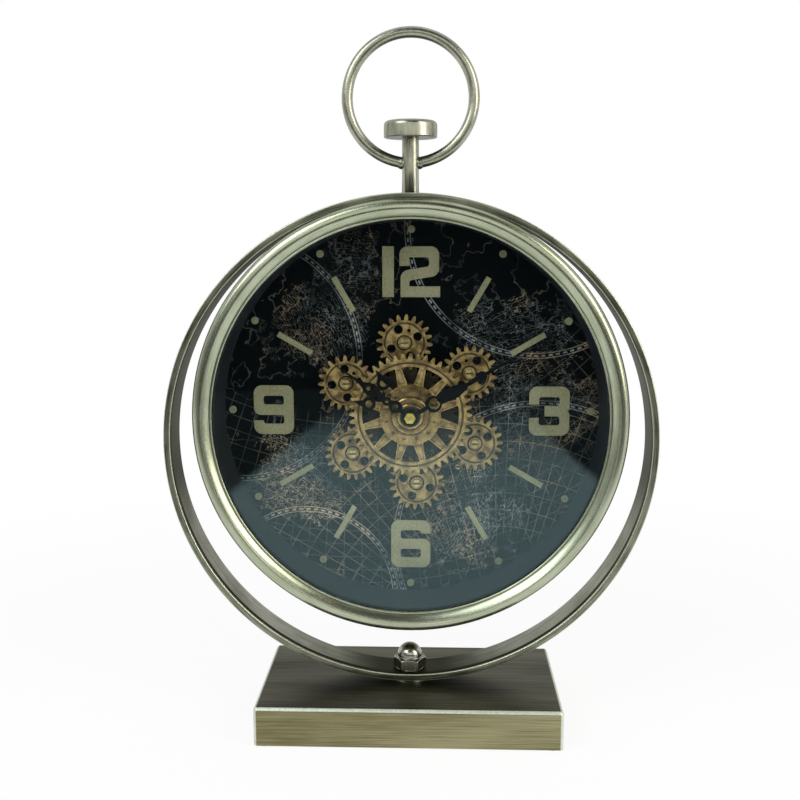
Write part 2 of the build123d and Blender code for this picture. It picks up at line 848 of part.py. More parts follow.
def great_wheel():
    outline = gear_outline(wheel_teeth, wheel_module)
    windows = Circle(wheel_window_outer) - Circle(hub_flange_radius)
    half_turn = 180 / spoke_count
    inner, outer = hub_flange_radius - spoke_outer_width, wheel_window_outer + spoke_outer_width
    spoke = Polygon((inner, -spoke_inner_width / 2), (outer, -spoke_outer_width / 2),
                    (outer, spoke_outer_width / 2), (inner, spoke_inner_width / 2), align=None)
    between = Circle(wheel_window_outer - spoke_border) - Circle(hub_flange_radius + spoke_border)
    panel = offset(spoke, -spoke_border) & between
    panels = []
    for k in range(spoke_count):
        turn = Rot(0, 0, half_turn * (2 * k + 1))
        windows -= turn * spoke
        panels.append(plate(turn * panel, wheel_front, spoke_panel_depth))
    wheel = plate(outline - windows - Circle(sleeve_radius), wheel_front, wheel_thickness)
    return wheel - panels - ring_groove(wheel_groove_ring, wheel_front)


def wheel_hub():
    flange_front = wheel_front - hub_flange_height
    step_front = flange_front - hub_step_height
    flange = disc(hub_flange_radius, flange_front, hub_flange_height)
    for hole in around(Circle(hub_hole_radius), spoke_count, hub_hole_ring, 180 / spoke_count):
        flange -= plate(hole, flange_front, hub_flange_height)
    step = disc(hub_step_radius, step_front, hub_step_height)
    step = fillet(step.edges().group_by(Axis.Y)[0], hub_rounding)
    dome = disc(hub_dome_radius, hub_front, hub_dome_height)
    dome = fillet(dome.edges().group_by(Axis.Y)[0], hub_rounding)
    return flange + step + dome - disc(sleeve_radius, hub_front, wheel_front - hub_front)


def gear_sleeve():
    gear_back = train_front + small_wheel_thickness
    tube = disc(sleeve_radius, hub_front, gear_back - hub_front)
    tube += plate(gear_outline(sleeve_gear_teeth, drive_module), train_front, small_wheel_thickness)
    return tube - disc(sleeve_bore, hub_front, gear_back - hub_front)


# Hands


def link(radius, bore, at):
    """A ring of the ornament, its centre at a height along the hand or at a point."""
    place = at if isinstance(at, tuple) else (0, at)
    return Pos(*place) * (Circle(radius) - Circle(bore))


def needle(start, end, width):
    """A long thin point along the hand."""
    return Polygon((-width / 2, start), (width / 2, start), (0, end), align=None)


def strip(start, end, width):
    """A straight strip along the hand."""
    return Pos(0, (start + end) / 2) * Rectangle(width, end - start)


def hour_hand_outline():
    eye_at = hand_boss_radius + hour_neck_length + hour_eye_radius
    collar_at = eye_at + hour_eye_radius + hour_collar_radius - ornament_overlap
    heart_at = collar_at + hour_collar_radius + hour_heart_radius - ornament_overlap
    crest_at = heart_at + hour_heart_radius + hour_crest_radius - ornament_overlap
    wing_x = hour_heart_radius + hour_wing_radius - ornament_overlap
    wing_z = heart_at + hour_wing_lift
    outline = Circle(hand_boss_radius) + strip(0, eye_at - hour_eye_bore, hand_neck_width)
    outline += link(hour_eye_radius, hour_eye_bore, eye_at)
    outline += link(hour_collar_radius, hour_collar_bore, collar_at)
    outline += Pos(0, heart_at) * Circle(hour_heart_radius)
    outline += link(hour_crest_radius, hour_crest_bore, crest_at)
    wing_rim = hour_wing_radius - ornament_overlap
    for side in (-1, 1):
        horn = [(side * (wing_x - wing_rim), wing_z), (side * (wing_x + wing_rim), wing_z),
                (side * (wing_x + hour_wing_radius), wing_z + hour_horn_length)]
        outline += Polygon(*horn[::side], align=None)
        outline += Pos(side * wing_x, wing_z) * Circle(hour_wing_radius)
        outline -= Pos(side * wing_x, wing_z) * Circle(hour_wing_bore)
        outline -= Pos(side * hour_heart_spread, heart_at) * Circle(hour_heart_bore)
    spear_start = crest_at + hour_crest_bore
    outline += needle(spear_start, spear_start + hour_spear_length, hour_spear_width)
    outline += needle(spear_start, hour_hand_length, needle_width)
    return outline - Pos(0, crest_at) * Circle(hour_crest_bore)


def minute_hand_outline():
    bar_from = minute_eyelet_at + minute_eyelet_radius - ornament_overlap
    bar_to = bar_from + minute_bar_length
    widest_at = bar_from + minute_bar_widest_at
    half_root, half_bar, half_end = minute_bar_root / 2, minute_bar_width / 2, minute_bar_end / 2
    leaf_at = bar_to + minute_stalk_length + minute_leaf_radius
    outline = Circle(hand_boss_radius) + strip(0, minute_eyelet_at, hand_neck_width)
    outline += Pos(0, minute_eyelet_at) * Circle(minute_eyelet_radius)
    outline -= Pos(0, minute_eyelet_at + ornament_overlap) * Circle(minute_eyelet_bore)
    outline += Polygon((-half_root, bar_from), (half_root, bar_from), (half_bar, widest_at),
                       (half_end, bar_to), (-half_end, bar_to), (-half_bar, widest_at), align=None)
    outline += strip(bar_to - ornament_overlap, leaf_at, hand_neck_width)
    outline += Pos(0, leaf_at) * Circle(minute_leaf_radius)
    for side in (-1, 1):
        lobe_at = (side * minute_lobe_spread, leaf_at - minute_leaf_radius + minute_lobe_radius)
        outline += Pos(*lobe_at) * Circle(minute_lobe_radius)
    knob_at = leaf_at + minute_leaf_radius + minute_knob_gap + minute_knob_radius
    outline += Pos(0, knob_at) * Circle(minute_knob_radius)
    return outline + needle(leaf_at, minute_hand_length, needle_width)


def hand(outline, clock_angle, back, bore):
    """Cut a hand from sheet, turn it to its clock angle and give it a boss behind."""
    turned = Rot(0, 0, -clock_angle) * outline
    solid = plate(turned, back - hand_thickness, hand_thickness)
    solid += disc(hand_boss_radius, back, hand_boss_extra)
    return solid - disc(bore, back - hand_thickness, hand_thickness + hand_boss_extra)


def hour_hand():
    angle = 360 / dial_hours * (hour_shown + minutes_shown / 60)
    return hand(hour_hand_outline(), angle, hour_hand_back, pipe_radius)


def minute_hand():
    return hand(minute_hand_outline(), 360 * minutes_shown / 60, minute_hand_back, arbor_radius)


def hand_nut():
    outline = hexagon(hand_nut_flats) - Circle(arbor_radius)
    return plate(outline, nut_front, hand_nut_height)


# Movement


def movement_outline():
    return RectangleRounded(movement_width, movement_height, movement_corner)


def train_post_places():
    across = train_plate_width / 2 - train_post_inset
    up = bay_wall_z - rib_wall - fit_clearance - train_post_inset
    return [(x, z) for x in (-across, across) for z in (-up, up)]


def movement_case():
    inner = RectangleRounded(movement_width - 2 * movement_wall, movement_height - 2 * movement_wall,
                             movement_corner - movement_wall)
    case = plate(movement_outline(), dial_back, movement_depth)
    case -= plate(inner, dial_back + movement_wall, movement_depth)
    room = movement_depth - movement_wall
    inside_width = movement_width - 2 * movement_wall
    bay_height = movement_height / 2 - movement_wall - bay_wall_z
    for side in (-1, 1):
        wall = Pos(0, side * (bay_wall_z - rib_wall / 2)) * Rectangle(inside_width, rib_wall)
        case += plate(wall, dial_back + movement_wall, room)
        for end in (-1, 1):
            at = (end * (bay_end_x + rib_wall / 2), side * (bay_wall_z + bay_height / 2))
            case += plate(Pos(*at) * Rectangle(rib_wall, bay_height), dial_back + movement_wall, room)
    for place in train_post_places():
        height = train_plate_front - dial_back - movement_wall
        case += disc(train_post_radius, dial_back + movement_wall, height, at=place)
    case -= disc(sleeve_radius + hole_clearance, dial_back, movement_wall)
    for place in movement_screw_places():
        case -= disc(movement_screw_radius + fit_clearance, dial_back, movement_wall, at=place)
    return case


def movement_cover():
    outline = movement_outline()
    bay_height = movement_height / 2 - movement_wall - bay_wall_z
    for side in (-1, 1):
        at = (0, side * (bay_wall_z + bay_height / 2))
        outline -= Pos(*at) * Rectangle(2 * bay_end_x, bay_height)
    outline -= Pos(-set_reach, 0) * Circle(set_shaft_radius + running_clearance)
    cover = plate(outline, cover_front, cover_thickness)
    boss_front = centre_wheel_back + wheel_plate_gap
    cover += disc(2 * arbor_radius, boss_front, cover_front - boss_front)
    return cover - disc(arbor_radius + running_clearance, boss_front, cover_front - boss_front)


def movement_screws():
    screws = []
    head_front = dial_face - movement_screw_head_height
    shank_length = dial_thickness + movement_wall
    for place in movement_screw_places():
        screw = disc(movement_screw_head_radius, head_front, movement_screw_head_height, at=place)
        screw += disc(movement_screw_radius, dial_face, shank_length, at=place)
        screws.append(slotted(screw, movement_screw_head_radius, head_front, place))
    return screws


def train_plate():
    height = 2 * (bay_wall_z - rib_wall - fit_clearance)
    outline = Rectangle(train_plate_width, height) - Circle(bush_radius)
    outline -= Pos(motor_x, motor_z) * Circle(motor_shaft_radius + hole_clearance)
    outline -= Pos(-set_reach, 0) * Circle(set_shaft_radius + running_clearance)
    body = plate(outline, train_plate_front, train_plate_thickness)
    body += disc(small_stud_radius, train_front, train_plate_front - train_front, at=(idler_x, 0))
    stud_length = minute_wheel_front + small_wheel_thickness - train_plate_back
    return body + disc(small_stud_radius, train_plate_back, stud_length, at=(-minute_wheel_reach, 0))


def centre_bush():
    front = hub_front + wheel_plate_gap
    return disc(bush_radius, front, train_plate_back - front, bush_bore)


def hour_pipe():
    front = hour_hand_back - hand_thickness
    back = hour_wheel_front + small_wheel_thickness
    pipe = disc(pipe_radius, front, back - front)
    wheel = gear_outline(hour_wheel_teeth, hour_module, 180.0, small_addendum)
    pipe += plate(wheel, hour_wheel_front, small_wheel_thickness)
    return pipe - disc(pipe_bore, front, back - front)


def minute_arbor():
    back = cover_front - wheel_plate_gap
    arbor = disc(arbor_radius, nut_front, back - nut_front)
    cannon = gear_outline(cannon_teeth, motion_module, 180.0, small_addendum)
    arbor += plate(cannon, minute_wheel_front, centre_wheel_front - minute_wheel_front)
    wheel = gear_outline(centre_wheel_teeth, drive_module, stepper_angle, small_addendum)
    return arbor + plate(wheel, centre_wheel_front, small_wheel_thickness)


minute_wheel_turn = meshing_turn(180, minute_wheel_teeth, cannon_teeth, 180)


def minute_wheel():
    at = (-minute_wheel_reach, 0)
    pinion_turn = meshing_turn(180, minute_pinion_teeth, hour_wheel_teeth, 180)
    wheel = Pos(*at) * gear_outline(minute_wheel_teeth, motion_module, minute_wheel_turn, small_addendum)
    pinion = Pos(*at) * gear_outline(minute_pinion_teeth, hour_module, pinion_turn, small_addendum)
    gear = plate(wheel, minute_wheel_front, small_wheel_thickness)
    gear += plate(pinion, hour_wheel_front, minute_wheel_front - hour_wheel_front)
    length = minute_wheel_front + small_wheel_thickness - hour_wheel_front
    return gear - disc(small_stud_radius + running_clearance, hour_wheel_front, length, at=at)


def setting_knob():
    at = (-set_reach, 0)
    turn = meshing_turn(180, set_pinion_teeth, minute_wheel_teeth, minute_wheel_turn)
    pinion = Pos(*at) * gear_outline(set_pinion_teeth, motion_module, turn, small_addendum)
    knob_front = cover_back + hole_clearance
    knob = plate(pinion, minute_wheel_front, small_wheel_thickness)
    knob += disc(set_shaft_radius, train_plate_front, knob_front - train_plate_front, at=at)
    grip = Circle(set_knob_radius)
    for flute in around(Circle(set_knob_flute_radius), set_knob_flutes, set_knob_radius):
        grip -= flute
    return knob + plate(Pos(*at) * grip, knob_front, set_knob_height)


def idler_gear():
    at = (idler_x, 0)
    pinion_turn = meshing_turn(0, idler_pinion_teeth, sleeve_gear_teeth, 0)
    pinion = Pos(*at) * gear_outline(idler_pinion_teeth, drive_module, pinion_turn, small_addendum)
    wheel = Pos(*at) * gear_outline(idler_wheel_teeth, drive_module, motor_angle, small_addendum)
    gear = plate(pinion, train_front, idler_front - train_front)
    gear += plate(wheel, idler_front, small_wheel_thickness)
    length = idler_front + small_wheel_thickness - train_front
    return gear - disc(small_stud_radius + running_clearance, train_front, length, at=at)


def gear_motor():
    at = (motor_x, motor_z)
    can = disc(motor_radius, train_plate_back, motor_length, at=at)
    return can - disc(motor_shaft_radius + running_clearance, train_plate_back, motor_length / 2, at=at)


def motor_pinion():
    at = (motor_x, motor_z)
    turn = meshing_turn(motor_angle, motor_pinion_teeth, idler_wheel_teeth, motor_angle)
    outline = Pos(*at) * gear_outline(motor_pinion_teeth, drive_module, turn, small_addendum)
    pinion = plate(outline, idler_front, small_wheel_thickness)
    back = train_plate_back + motor_length / 2 - wheel_plate_gap
    return pinion + disc(motor_shaft_radius, idler_front, back - idler_front, at=at)


def stepper_motor():
    at = (stepper_x, stepper_z)
    can = disc(stepper_radius, train_plate_back, stepper_length, at=at)
    hole_front = train_plate_back + stepper_length / 2
    return can - disc(stepper_shaft_radius + running_clearance, hole_front, stepper_length / 2, at=at)


def stepper_pinion():
    at = (stepper_x, stepper_z)
    turn = meshing_turn(stepper_angle, stepper_pinion_teeth, centre_wheel_teeth, stepper_angle)
    outline = Pos(*at) * gear_outline(stepper_pinion_teeth, drive_module, turn, small_addendum)
    pinion = plate(outline, centre_wheel_front, small_wheel_thickness)
    front = train_plate_back + stepper_length / 2 + wheel_plate_gap
    return pinion + disc(stepper_shaft_radius, front, centre_wheel_front - front, at=at)


def battery_cell(side):
    """One cell, lying across the clock in the upper (1) or lower (-1) bay."""
    body_length = cell_length - cell_nub_length
    body = Pos(-cell_nub_length / 2, 0, 0) * Rot(0, 90, 0) * Cylinder(cell_radius, body_length)
    nub_x = (cell_length - cell_nub_length) / 2
    body += Pos(nub_x, 0, 0) * Rot(0, 90, 0) * Cylinder(cell_nub_radius, cell_nub_length)
    return Pos(0, cell_y, clock_z + side * cell_z) * body


def battery_contacts():
    contact = Box(contact_thickness, contact_side, contact_side)
    across = bay_end_x - contact_thickness / 2
    return [Pos(x, cell_y, clock_z + z) * contact for x in (-across, across) for z in (-cell_z, cell_z)]


NODES = {
    "base_shell": base_shell(),
    "foot_pads": foot_pads(),
    "base_bolt": base_bolt(),
    "bolt_washer": bolt_washer(),
    "bolt_spacer": bolt_spacer(),
    "hoop": hoop(),
    "dome_washer": dome_washer(),
    "dome_nut": dome_nut(),
    "stem": stem(),
    "crown": crown(),
    "bail_ring": bail_ring(),
    "hanger_pad": hanger_pad(),
    "stem_washer": stem_washer(),
    "stem_nut": stem_nut(),
    "case_drum": case_drum(),
    "front_bezel": front_bezel(),
    "glass_lens": glass_lens(),
    "inner_wall": inner_wall(),
    "dial_plate": dial_plate(),
    "rear_spacer": rear_spacer(),
    "back_plate": back_plate(),
    "back_screws": back_screws(),
    "numeral_twelve": numeral_twelve(),
    "numeral_three": numeral_three(),
    "numeral_six": numeral_six(),
    "numeral_nine": numeral_nine(),
    "hour_batons": hour_batons(),
    "hour_dots": hour_dots(),
    "movement_screws": movement_screws(),
    "gear_bridge": gear_bridge(),
    "planet_posts": planet_posts(),
    "great_wheel": great_wheel(),
    "wheel_hub": wheel_hub(),
    "sun_gear": sun_gear(),
    "gear_sleeve": gear_sleeve(),
    "hour_hand": hour_hand(),
    "minute_hand": minute_hand(),
    "hand_nut": hand_nut(),
    "centre_bush": centre_bush(),
    "hour_pipe": hour_pipe(),
    "minute_arbor": minute_arbor(),
    "minute_wheel": minute_wheel(),
    "setting_knob": setting_knob(),
    "movement_case": movement_case(),
    "movement_cover": movement_cover(),
    "train_plate": train_plate(),
    "gear_motor": gear_motor(),
    "motor_pinion": motor_pinion(),
    "idler_gear": idler_gear(),
    "stepper_motor": stepper_motor(),
    "stepper_pinion": stepper_pinion(),
    "battery_contacts": battery_contacts(),
    "gear_cell": battery_cell(1),
    "clock_cell": battery_cell(-1),
}
NODES.update({f"planet_gear_{k + 1}": planet_gear(k) for k in range(planet_count)})

os.makedirs("parts", exist_ok=True)
for name, shape in NODES.items():
    whole = Compound(children=shape) if isinstance(shape, list) else shape
    export_step(whole, f"parts/{name}.step")
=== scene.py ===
import json
import math

import bmesh
import bpy
from mathutils import Matrix, Vector
from mathutils.geometry import area_tri

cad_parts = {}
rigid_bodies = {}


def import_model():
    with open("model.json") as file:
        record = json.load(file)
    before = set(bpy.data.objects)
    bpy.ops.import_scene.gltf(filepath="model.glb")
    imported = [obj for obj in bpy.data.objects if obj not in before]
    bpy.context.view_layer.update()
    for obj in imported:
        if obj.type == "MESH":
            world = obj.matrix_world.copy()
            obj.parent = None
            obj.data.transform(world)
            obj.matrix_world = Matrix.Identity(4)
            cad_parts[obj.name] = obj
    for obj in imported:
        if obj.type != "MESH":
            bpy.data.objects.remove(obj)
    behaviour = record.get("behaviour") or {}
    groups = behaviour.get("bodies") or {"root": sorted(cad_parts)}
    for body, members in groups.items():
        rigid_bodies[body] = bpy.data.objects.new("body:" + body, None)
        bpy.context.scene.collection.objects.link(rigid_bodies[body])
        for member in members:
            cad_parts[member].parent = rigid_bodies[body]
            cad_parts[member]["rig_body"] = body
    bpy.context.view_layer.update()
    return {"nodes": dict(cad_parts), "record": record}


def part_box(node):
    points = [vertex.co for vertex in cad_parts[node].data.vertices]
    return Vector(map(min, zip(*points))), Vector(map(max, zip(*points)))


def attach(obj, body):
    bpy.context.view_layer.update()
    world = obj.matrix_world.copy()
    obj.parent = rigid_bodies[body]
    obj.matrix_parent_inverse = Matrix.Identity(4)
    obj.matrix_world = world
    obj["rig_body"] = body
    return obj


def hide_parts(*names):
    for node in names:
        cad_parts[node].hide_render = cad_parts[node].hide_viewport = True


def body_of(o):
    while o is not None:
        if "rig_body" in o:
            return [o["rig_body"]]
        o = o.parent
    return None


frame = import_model()
print("frame loaded with", len(frame["nodes"]), "nodes")

mm = 0.001
weld = 0.002 * mm  # corners closer than this are one
fullTurn = 2 * math.pi
white = (1, 1, 1, 1)
scene = bpy.context.scene
scene.view_settings.view_transform = "Standard"
slotOf = {row["node"]: row["material_slot"] for row in frame["record"]["subparts"]}


def middle(node):
    low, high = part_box(node)
    return (low + high) / 2


dialCentre = Vector((0, 0, middle("case_drum").z))
hoopCentre = Vector((0, 0, middle("hoop").z))


class Wire:  # a shader socket that takes Python maths
    def __init__(self, nodes, socket):
        self.nodes = nodes
        self.socket = socket

    def maths(self, operation, first, second=0.0):
        return self.nodes.add("ShaderNodeMath", {"operation": operation}, {0: first, 1: second})

    def __add__(self, other):
        return self.maths("ADD", self, other)

    def __radd__(self, other):
        return self.maths("ADD", other, self)

    def __sub__(self, other):
        return self.maths("SUBTRACT", self, other)

    def __rsub__(self, other):
        return self.maths("SUBTRACT", other, self)

    def __mul__(self, other):
        return self.maths("MULTIPLY", self, other)

    def __rmul__(self, other):
        return self.maths("MULTIPLY", other, self)

    def __truediv__(self, other):
        return self.maths("DIVIDE", self, other)

    def __rtruediv__(self, other):
        return self.maths("DIVIDE", other, self)

    def __pow__(self, other):
        return self.maths("POWER", self, other)

    def __rpow__(self, other):
        return self.maths("POWER", other, self)

    def __abs__(self):
        return self.maths("ABSOLUTE", self)

    def __gt__(self, other):
        return self.maths("GREATER_THAN", self, other)

    def __or__(self, other):  # the larger of two masks
        return self.maths("MAXIMUM", self, other)

    def __and__(self, other):  # the smaller of two masks
        return self.maths("MINIMUM", self, other)

    def fract(self):
        return self.maths("FRACT", self)


class Nodes:  # the node tree of one material, or of the world
    def __init__(self, owner):
        owner.use_nodes = True
        self.owner = owner
        self.tree = owner.node_tree
        self.tree.nodes.clear()

    def add(self, kind, settings=None, sockets=None, out=0):
        node = self.tree.nodes.new(kind)
        for key, value in (settings or {}).items():
            setattr(node, key, value)
        for key, value in (sockets or {}).items():
            if isinstance(value, Wire):
                self.tree.links.new(value.socket, node.inputs[key])
            else:
                node.inputs[key].default_value = value
        return Wire(self, node.outputs[out]) if node.outputs else None

    def place(self, centre=(0, 0, 0), scale=(1, 1, 1)):  # object coordinates in mm from a centre
        at = self.add("ShaderNodeTexCoord", out="Object")
        scale = [1000 * part for part in scale]
        shift = [-part * size for part, size in zip(centre, scale)]
        return self.add("ShaderNodeMapping", {}, {"Vector": at, "Location": shift, "Scale": scale})

    def parts(self, vector):
        return [self.add("ShaderNodeSeparateXYZ", {}, {0: vector}, out) for out in ("X", "Y", "Z")]

    def joined(self, x, y, z):
        return self.add("ShaderNodeCombineXYZ", {}, {0: x, 1: y, 2: z})

    def round(self, centre):  # radius, angle and depth about the clock's axis
        x, y, z = self.parts(self.place(centre))
        return (x * x + z * z) ** 0.5, z.maths("ARCTAN2", z, x), y

    def facing(self):  # the piece's own normal
        return self.parts(self.add("ShaderNodeTexCoord", out="Normal"))

    def noise(self, vector, scale, detail=3.0, rough=0.55):
        sockets = {"Vector": vector, "Scale": scale, "Detail": detail, "Roughness": rough}
        return self.add("ShaderNodeTexNoise", {}, sockets)

    def ramp(self, value, low, high):  # 0 at low to 1 at high, smooth
        sockets = {"Value": value, "From Min": low, "From Max": high}
        return self.add("ShaderNodeMapRange", {"interpolation_type": "SMOOTHSTEP"}, sockets)

    def mix(self, share, first, second):
        return self.add("ShaderNodeMix", {"data_type": "RGBA"}, {0: share, 6: first, 7: second}, 2)

    def wornAndGlint(self, radius):  # 1 on outer and inner edges
        soft = self.add("ShaderNodeBevel", {"samples": 6}, {"Radius": radius * mm})
        plain = self.add("ShaderNodeNewGeometry", out="Normal")
        same = self.add("ShaderNodeVectorMath", {"operation": "DOT_PRODUCT"}, {0: soft, 1: plain}, "Value")
        return self.ramp(1 - same, 0.004, 0.12)

    def open(self, distance):  # 1 on open faces, falling to 0 in grooves
        settings = {"samples": 8, "only_local": True}
        return self.add("ShaderNodeAmbientOcclusion", settings, {"Distance": distance * mm}, "AO")

    def bump(self, height, depth):
        return self.add("ShaderNodeBump", {}, {"Strength": 1.0, "Distance": depth * mm, "Height": height})

    def shade(self, sockets):
        surface = self.add("ShaderNodeBsdfPrincipled", {}, sockets)
        self.add("ShaderNodeOutputMaterial", {}, {"Surface": surface})
        return self.owner


def newNodes(name):
    return Nodes(bpy.data.materials.new(name))


def brushedMetal(name, look):  # plated metal with brushing, worn edges partly brightened as a painted highlight, and a dull film in corners that is partly patina and partly painted shade
    n = newNodes(name)
    if "turned" in look:
        radius, angle, depth = n.round(look["turned"])
        along = n.joined(radius * look["grain"], depth * look["grain"], angle * look["sweep"])
        grain = n.noise(along, 1.0, 4.0, 0.6)
    else:
        grain = n.noise(n.place(scale=look["grain"]), 1.0, 4.0, 0.65)
    cloud = n.noise(n.place(scale=look.get("stretch", (1, 1, 1))), 0.05, 3.0)
    tone = n.ramp(grain * 0.6 + cloud * 0.4, 0.38, 0.62)
    colour = n.mix(tone, look["dark"], look["pale"])
    nx, ny, nz = n.facing()
    if "top" in look:
        # upward faces take darker colours: painted shade on the top
        colour = n.mix(n.ramp(nz, 0.75, 0.98), colour, n.mix(tone, look["top"][0], look["top"][1]))
    # inward faces take painted shade, and the low quarters painted light
    if "inner" in look:
        x, y, z = n.parts(n.place(look["turned"]))
        inward = (nx * x + nz * z) / ((x * x + z * z) ** 0.5) * -1
        slant = n.ramp(abs(nx) * nz, 0.12, 0.46)  # the hoop's low quarters catch more light
        shaded, plain, lit = look["inner"]
        inner = n.mix(slant, n.mix(tone * 0.5, shaded, plain), n.mix(0.3 + tone * 0.4, plain, lit))
        colour = n.mix(n.ramp(inward, 0.5, 0.95), colour, inner)
        start, end, fade = look["grooveShadow"]  # painted shadow along the groove
        line = n.ramp(y, start - fade, start) * n.ramp(y, end + fade, end)
        colour = n.mix(line * n.ramp(inward, 0.2, 0.6), colour, look["dull"])
    if "under" in look:
        # downward faces take a darker colour: painted shade underneath
        colour = n.mix(n.ramp(nz, -0.5, -0.9), colour, look["under"])
    speck = n.noise(n.place(), 0.9, 2.0)
    if "bare" in look:  # rubbed bright on rounded corners, partly a painted highlight
        sides = (nx * nx + nz * nz) ** 0.5 if "turned" in look else abs(nx) | abs(nz)
        corner = n.ramp(1 - (sides | abs(ny)), 0.004, 0.1)
    else:
        corner = n.wornAndGlint(look.get("edge", 0.8))
    edge = corner * (0.55 + speck * 0.7) * look.get("wearAndGlint", 0.7) & 1.0
    # edges take a pale colour: partly real wear, partly a painted highlight
    colour = n.mix(edge, colour, look["wornAndGlint"])
    # a dull film in recesses: partly patina, partly painted shade
    filmAndShade = 1 - n.open(look.get("reach", 3.0))
    colour = n.mix(filmAndShade * look.get("filmAndShade", 0.8), colour, look["dull"])
    roughness = look["rough"] + (grain - 0.5) * look.get("gloss", 0.18) + filmAndShade * 0.2
    return n.shade({
        "Base Color": colour,
        "Metallic": 1 - edge * look["bare"] if "bare" in look else 1.0,
        "Roughness": roughness,
        "Specular Tint": look.get("rake", white),
        "Normal": n.bump(grain, look.get("depth", 0.012)),
    })


def bronze(name, look):  # cast gear metal with dark patina and painted shade in every recess, and worn edges partly brightened as a painted glint
    n = newNodes(name)
    cloud = n.noise(n.place(), 0.22, 4.0, 0.6)
    speck = n.noise(n.place(), 1.6, 3.0)
    colour = n.mix(n.ramp(cloud, 0.34, 0.66), look["dark"], look["pale"])
    edge = n.wornAndGlint(look.get("edge", 0.35))
    # edges take a pale colour: partly real wear, partly a painted glint
    colour = n.mix(edge * (0.4 + speck * 0.6) * look.get("wearAndGlint", 0.6), colour, look["wornAndGlint"])
    # recesses darken: partly patina, partly painted shade
    filmAndShade = n.ramp(n.open(look.get("reach", 1.6)), 0.96, 0.58)
    colour = n.mix(filmAndShade * look.get("filmAndShade", 0.9), colour, look["dull"])
    return n.shade({
        "Base Color": colour,
        "Metallic": look.get("metal", 0.7) * (1 - filmAndShade),
        "Roughness": look["rough"] + (cloud - 0.5) * 0.25 + filmAndShade * 0.25,
        "Normal": n.bump(speck, look.get("depth", 0.02)),
    })


def matte(name, look):  # paint, moulding, card or felt
    n = newNodes(name)
    grain = n.noise(n.place(), look["grain"], 4.0, 0.6)
    cloud = n.noise(n.place(), 0.06, 2.0)
    colour = n.mix(n.ramp(grain * 0.6 + cloud * 0.4, 0.34, 0.66), look["dark"], look["pale"])
    edge = n.wornAndGlint(0.3) * look.get("wearAndGlint", 0.3)
    colour = n.mix(edge, colour, look["wornAndGlint"])
    return n.shade({
        "Base Color": colour,
        "Metallic": look.get("metal", 0.0),
        "Roughness": look["rough"] + (grain - 0.5) * 0.2,
        "Specular IOR Level": look.get("sheen", 0.5),
        "Normal": n.bump(grain, look.get("depth", 0.02)),
    })


def chartPrint(name, look):  # a dark sheet with fine engraved lines, arcs, grids and hatching
    n = newNodes(name)
    x, y, z = n.parts(n.place(dialCentre))

    def polarFrom(cx, cz):
        dx, dz = x - cx, z - cz
        return (dx * dx + dz * dz) ** 0.5, dz.maths("ARCTAN2", dz, dx)

    def fine(off, width):
        return 1 - n.ramp(off, width * 0.4, width)

    lines = 0.0
    for cx, cz, ring, rays, near, far, share in look["grids"]:  # rings and rays about a far point
        reach, turn = polarFrom(cx, cz)
        rings = fine(abs((reach / ring).fract() - 0.5) * ring, look["stroke"])
        aside = abs((turn * (rays / fullTurn) + 0.5).fract() - 0.5) * (fullTurn / rays) * reach
        spokes = fine(aside, look["stroke"])
        within = n.ramp(reach, near, near + 6) * n.ramp(reach, far, far - 6)
        lines = (rings | spokes) * within * share + lines
    for cx, cz, size, dashes, share in look["arcs"]:  # double arcs with a dashed scale between
        reach, turn = polarFrom(cx, cz)
        off = abs(reach - size)
        dash = fine(off, 0.6) * ((turn * (dashes / fullTurn)).fract() > 0.45)
        lines = (fine(abs(off - 1.25), 0.36) * 0.8 + dash) * share + lines
    bend = n.noise(n.place(dialCentre), look["bend"], 3.0) * look["sway"]
    strokes, land = 0.0, 0.0
    for turn, gap, cx, cz, reach, share in look["hatches"]:  # broken strokes over a ragged patch
        across = (x * math.cos(turn) + z * math.sin(turn) + bend) / gap
        along = z * math.cos(turn) - x * math.sin(turn)
        row = across.maths("FLOOR", across)
        dash = n.ramp(n.noise(n.joined(row * 3.7, turn, along * 0.3), 1.0, 1.0), 0.44, 0.52)
        ragged = polarFrom(cx, cz)[0] + (n.noise(n.place(dialCentre), 0.05, 5.0, 0.65) - 0.5) * 90
        patch = n.ramp(ragged, reach, reach - 3) * share
        strokes = fine(abs(across.fract() - 0.5) * gap, look["stroke"]) * dash * patch | strokes
        land = patch | land
    relief = fine(abs(n.noise(n.place(dialCentre), look["relief"], 2.5, 0.6) - 0.5), 0.02) * land
    coast = fine(abs(n.noise(n.place(dialCentre), look["coast"], 4.0, 0.6) - 0.5), 0.01)
    age = n.ramp(n.noise(n.place(dialCentre), 0.07, 5.0), 0.3, 0.68)
    ink = (lines + coast * 0.16 + strokes * 0.28 + relief * 0.75) * (0.2 + age * 0.8)
    tint = n.mix(n.ramp(n.noise(n.place(dialCentre), 0.035, 2.0), 0.46, 0.62), look["ink"], look["warm"])
    speck = n.noise(n.place(dialCentre), 0.9, 3.0)
    ground = n.mix(speck, look["ground"], look["ground2"])
    return n.shade({
        "Base Color": n.mix(ink & 1.0, ground, tint),
        "Metallic": 0.0,
        "Roughness": 0.6 - ink * 0.1,
        "Specular IOR Level": 0.02,
    })


def clearGlass(name, look):  # lets light through and mirrors the room faintly
    n = newNodes(name)
    smear = n.noise(n.place(), 0.03, 3.0)
    tilt = n.add("ShaderNodeLayerWeight", {}, {"Blend": 0.5}, "Facing")
    return n.shade({
        "Base Color": look["tint"],
        "Metallic": 1.0,
        "Roughness": 0.004 + smear * 0.008,
        "Alpha": look["mirror"] + (tilt ** 4.0) * 0.6,
    })


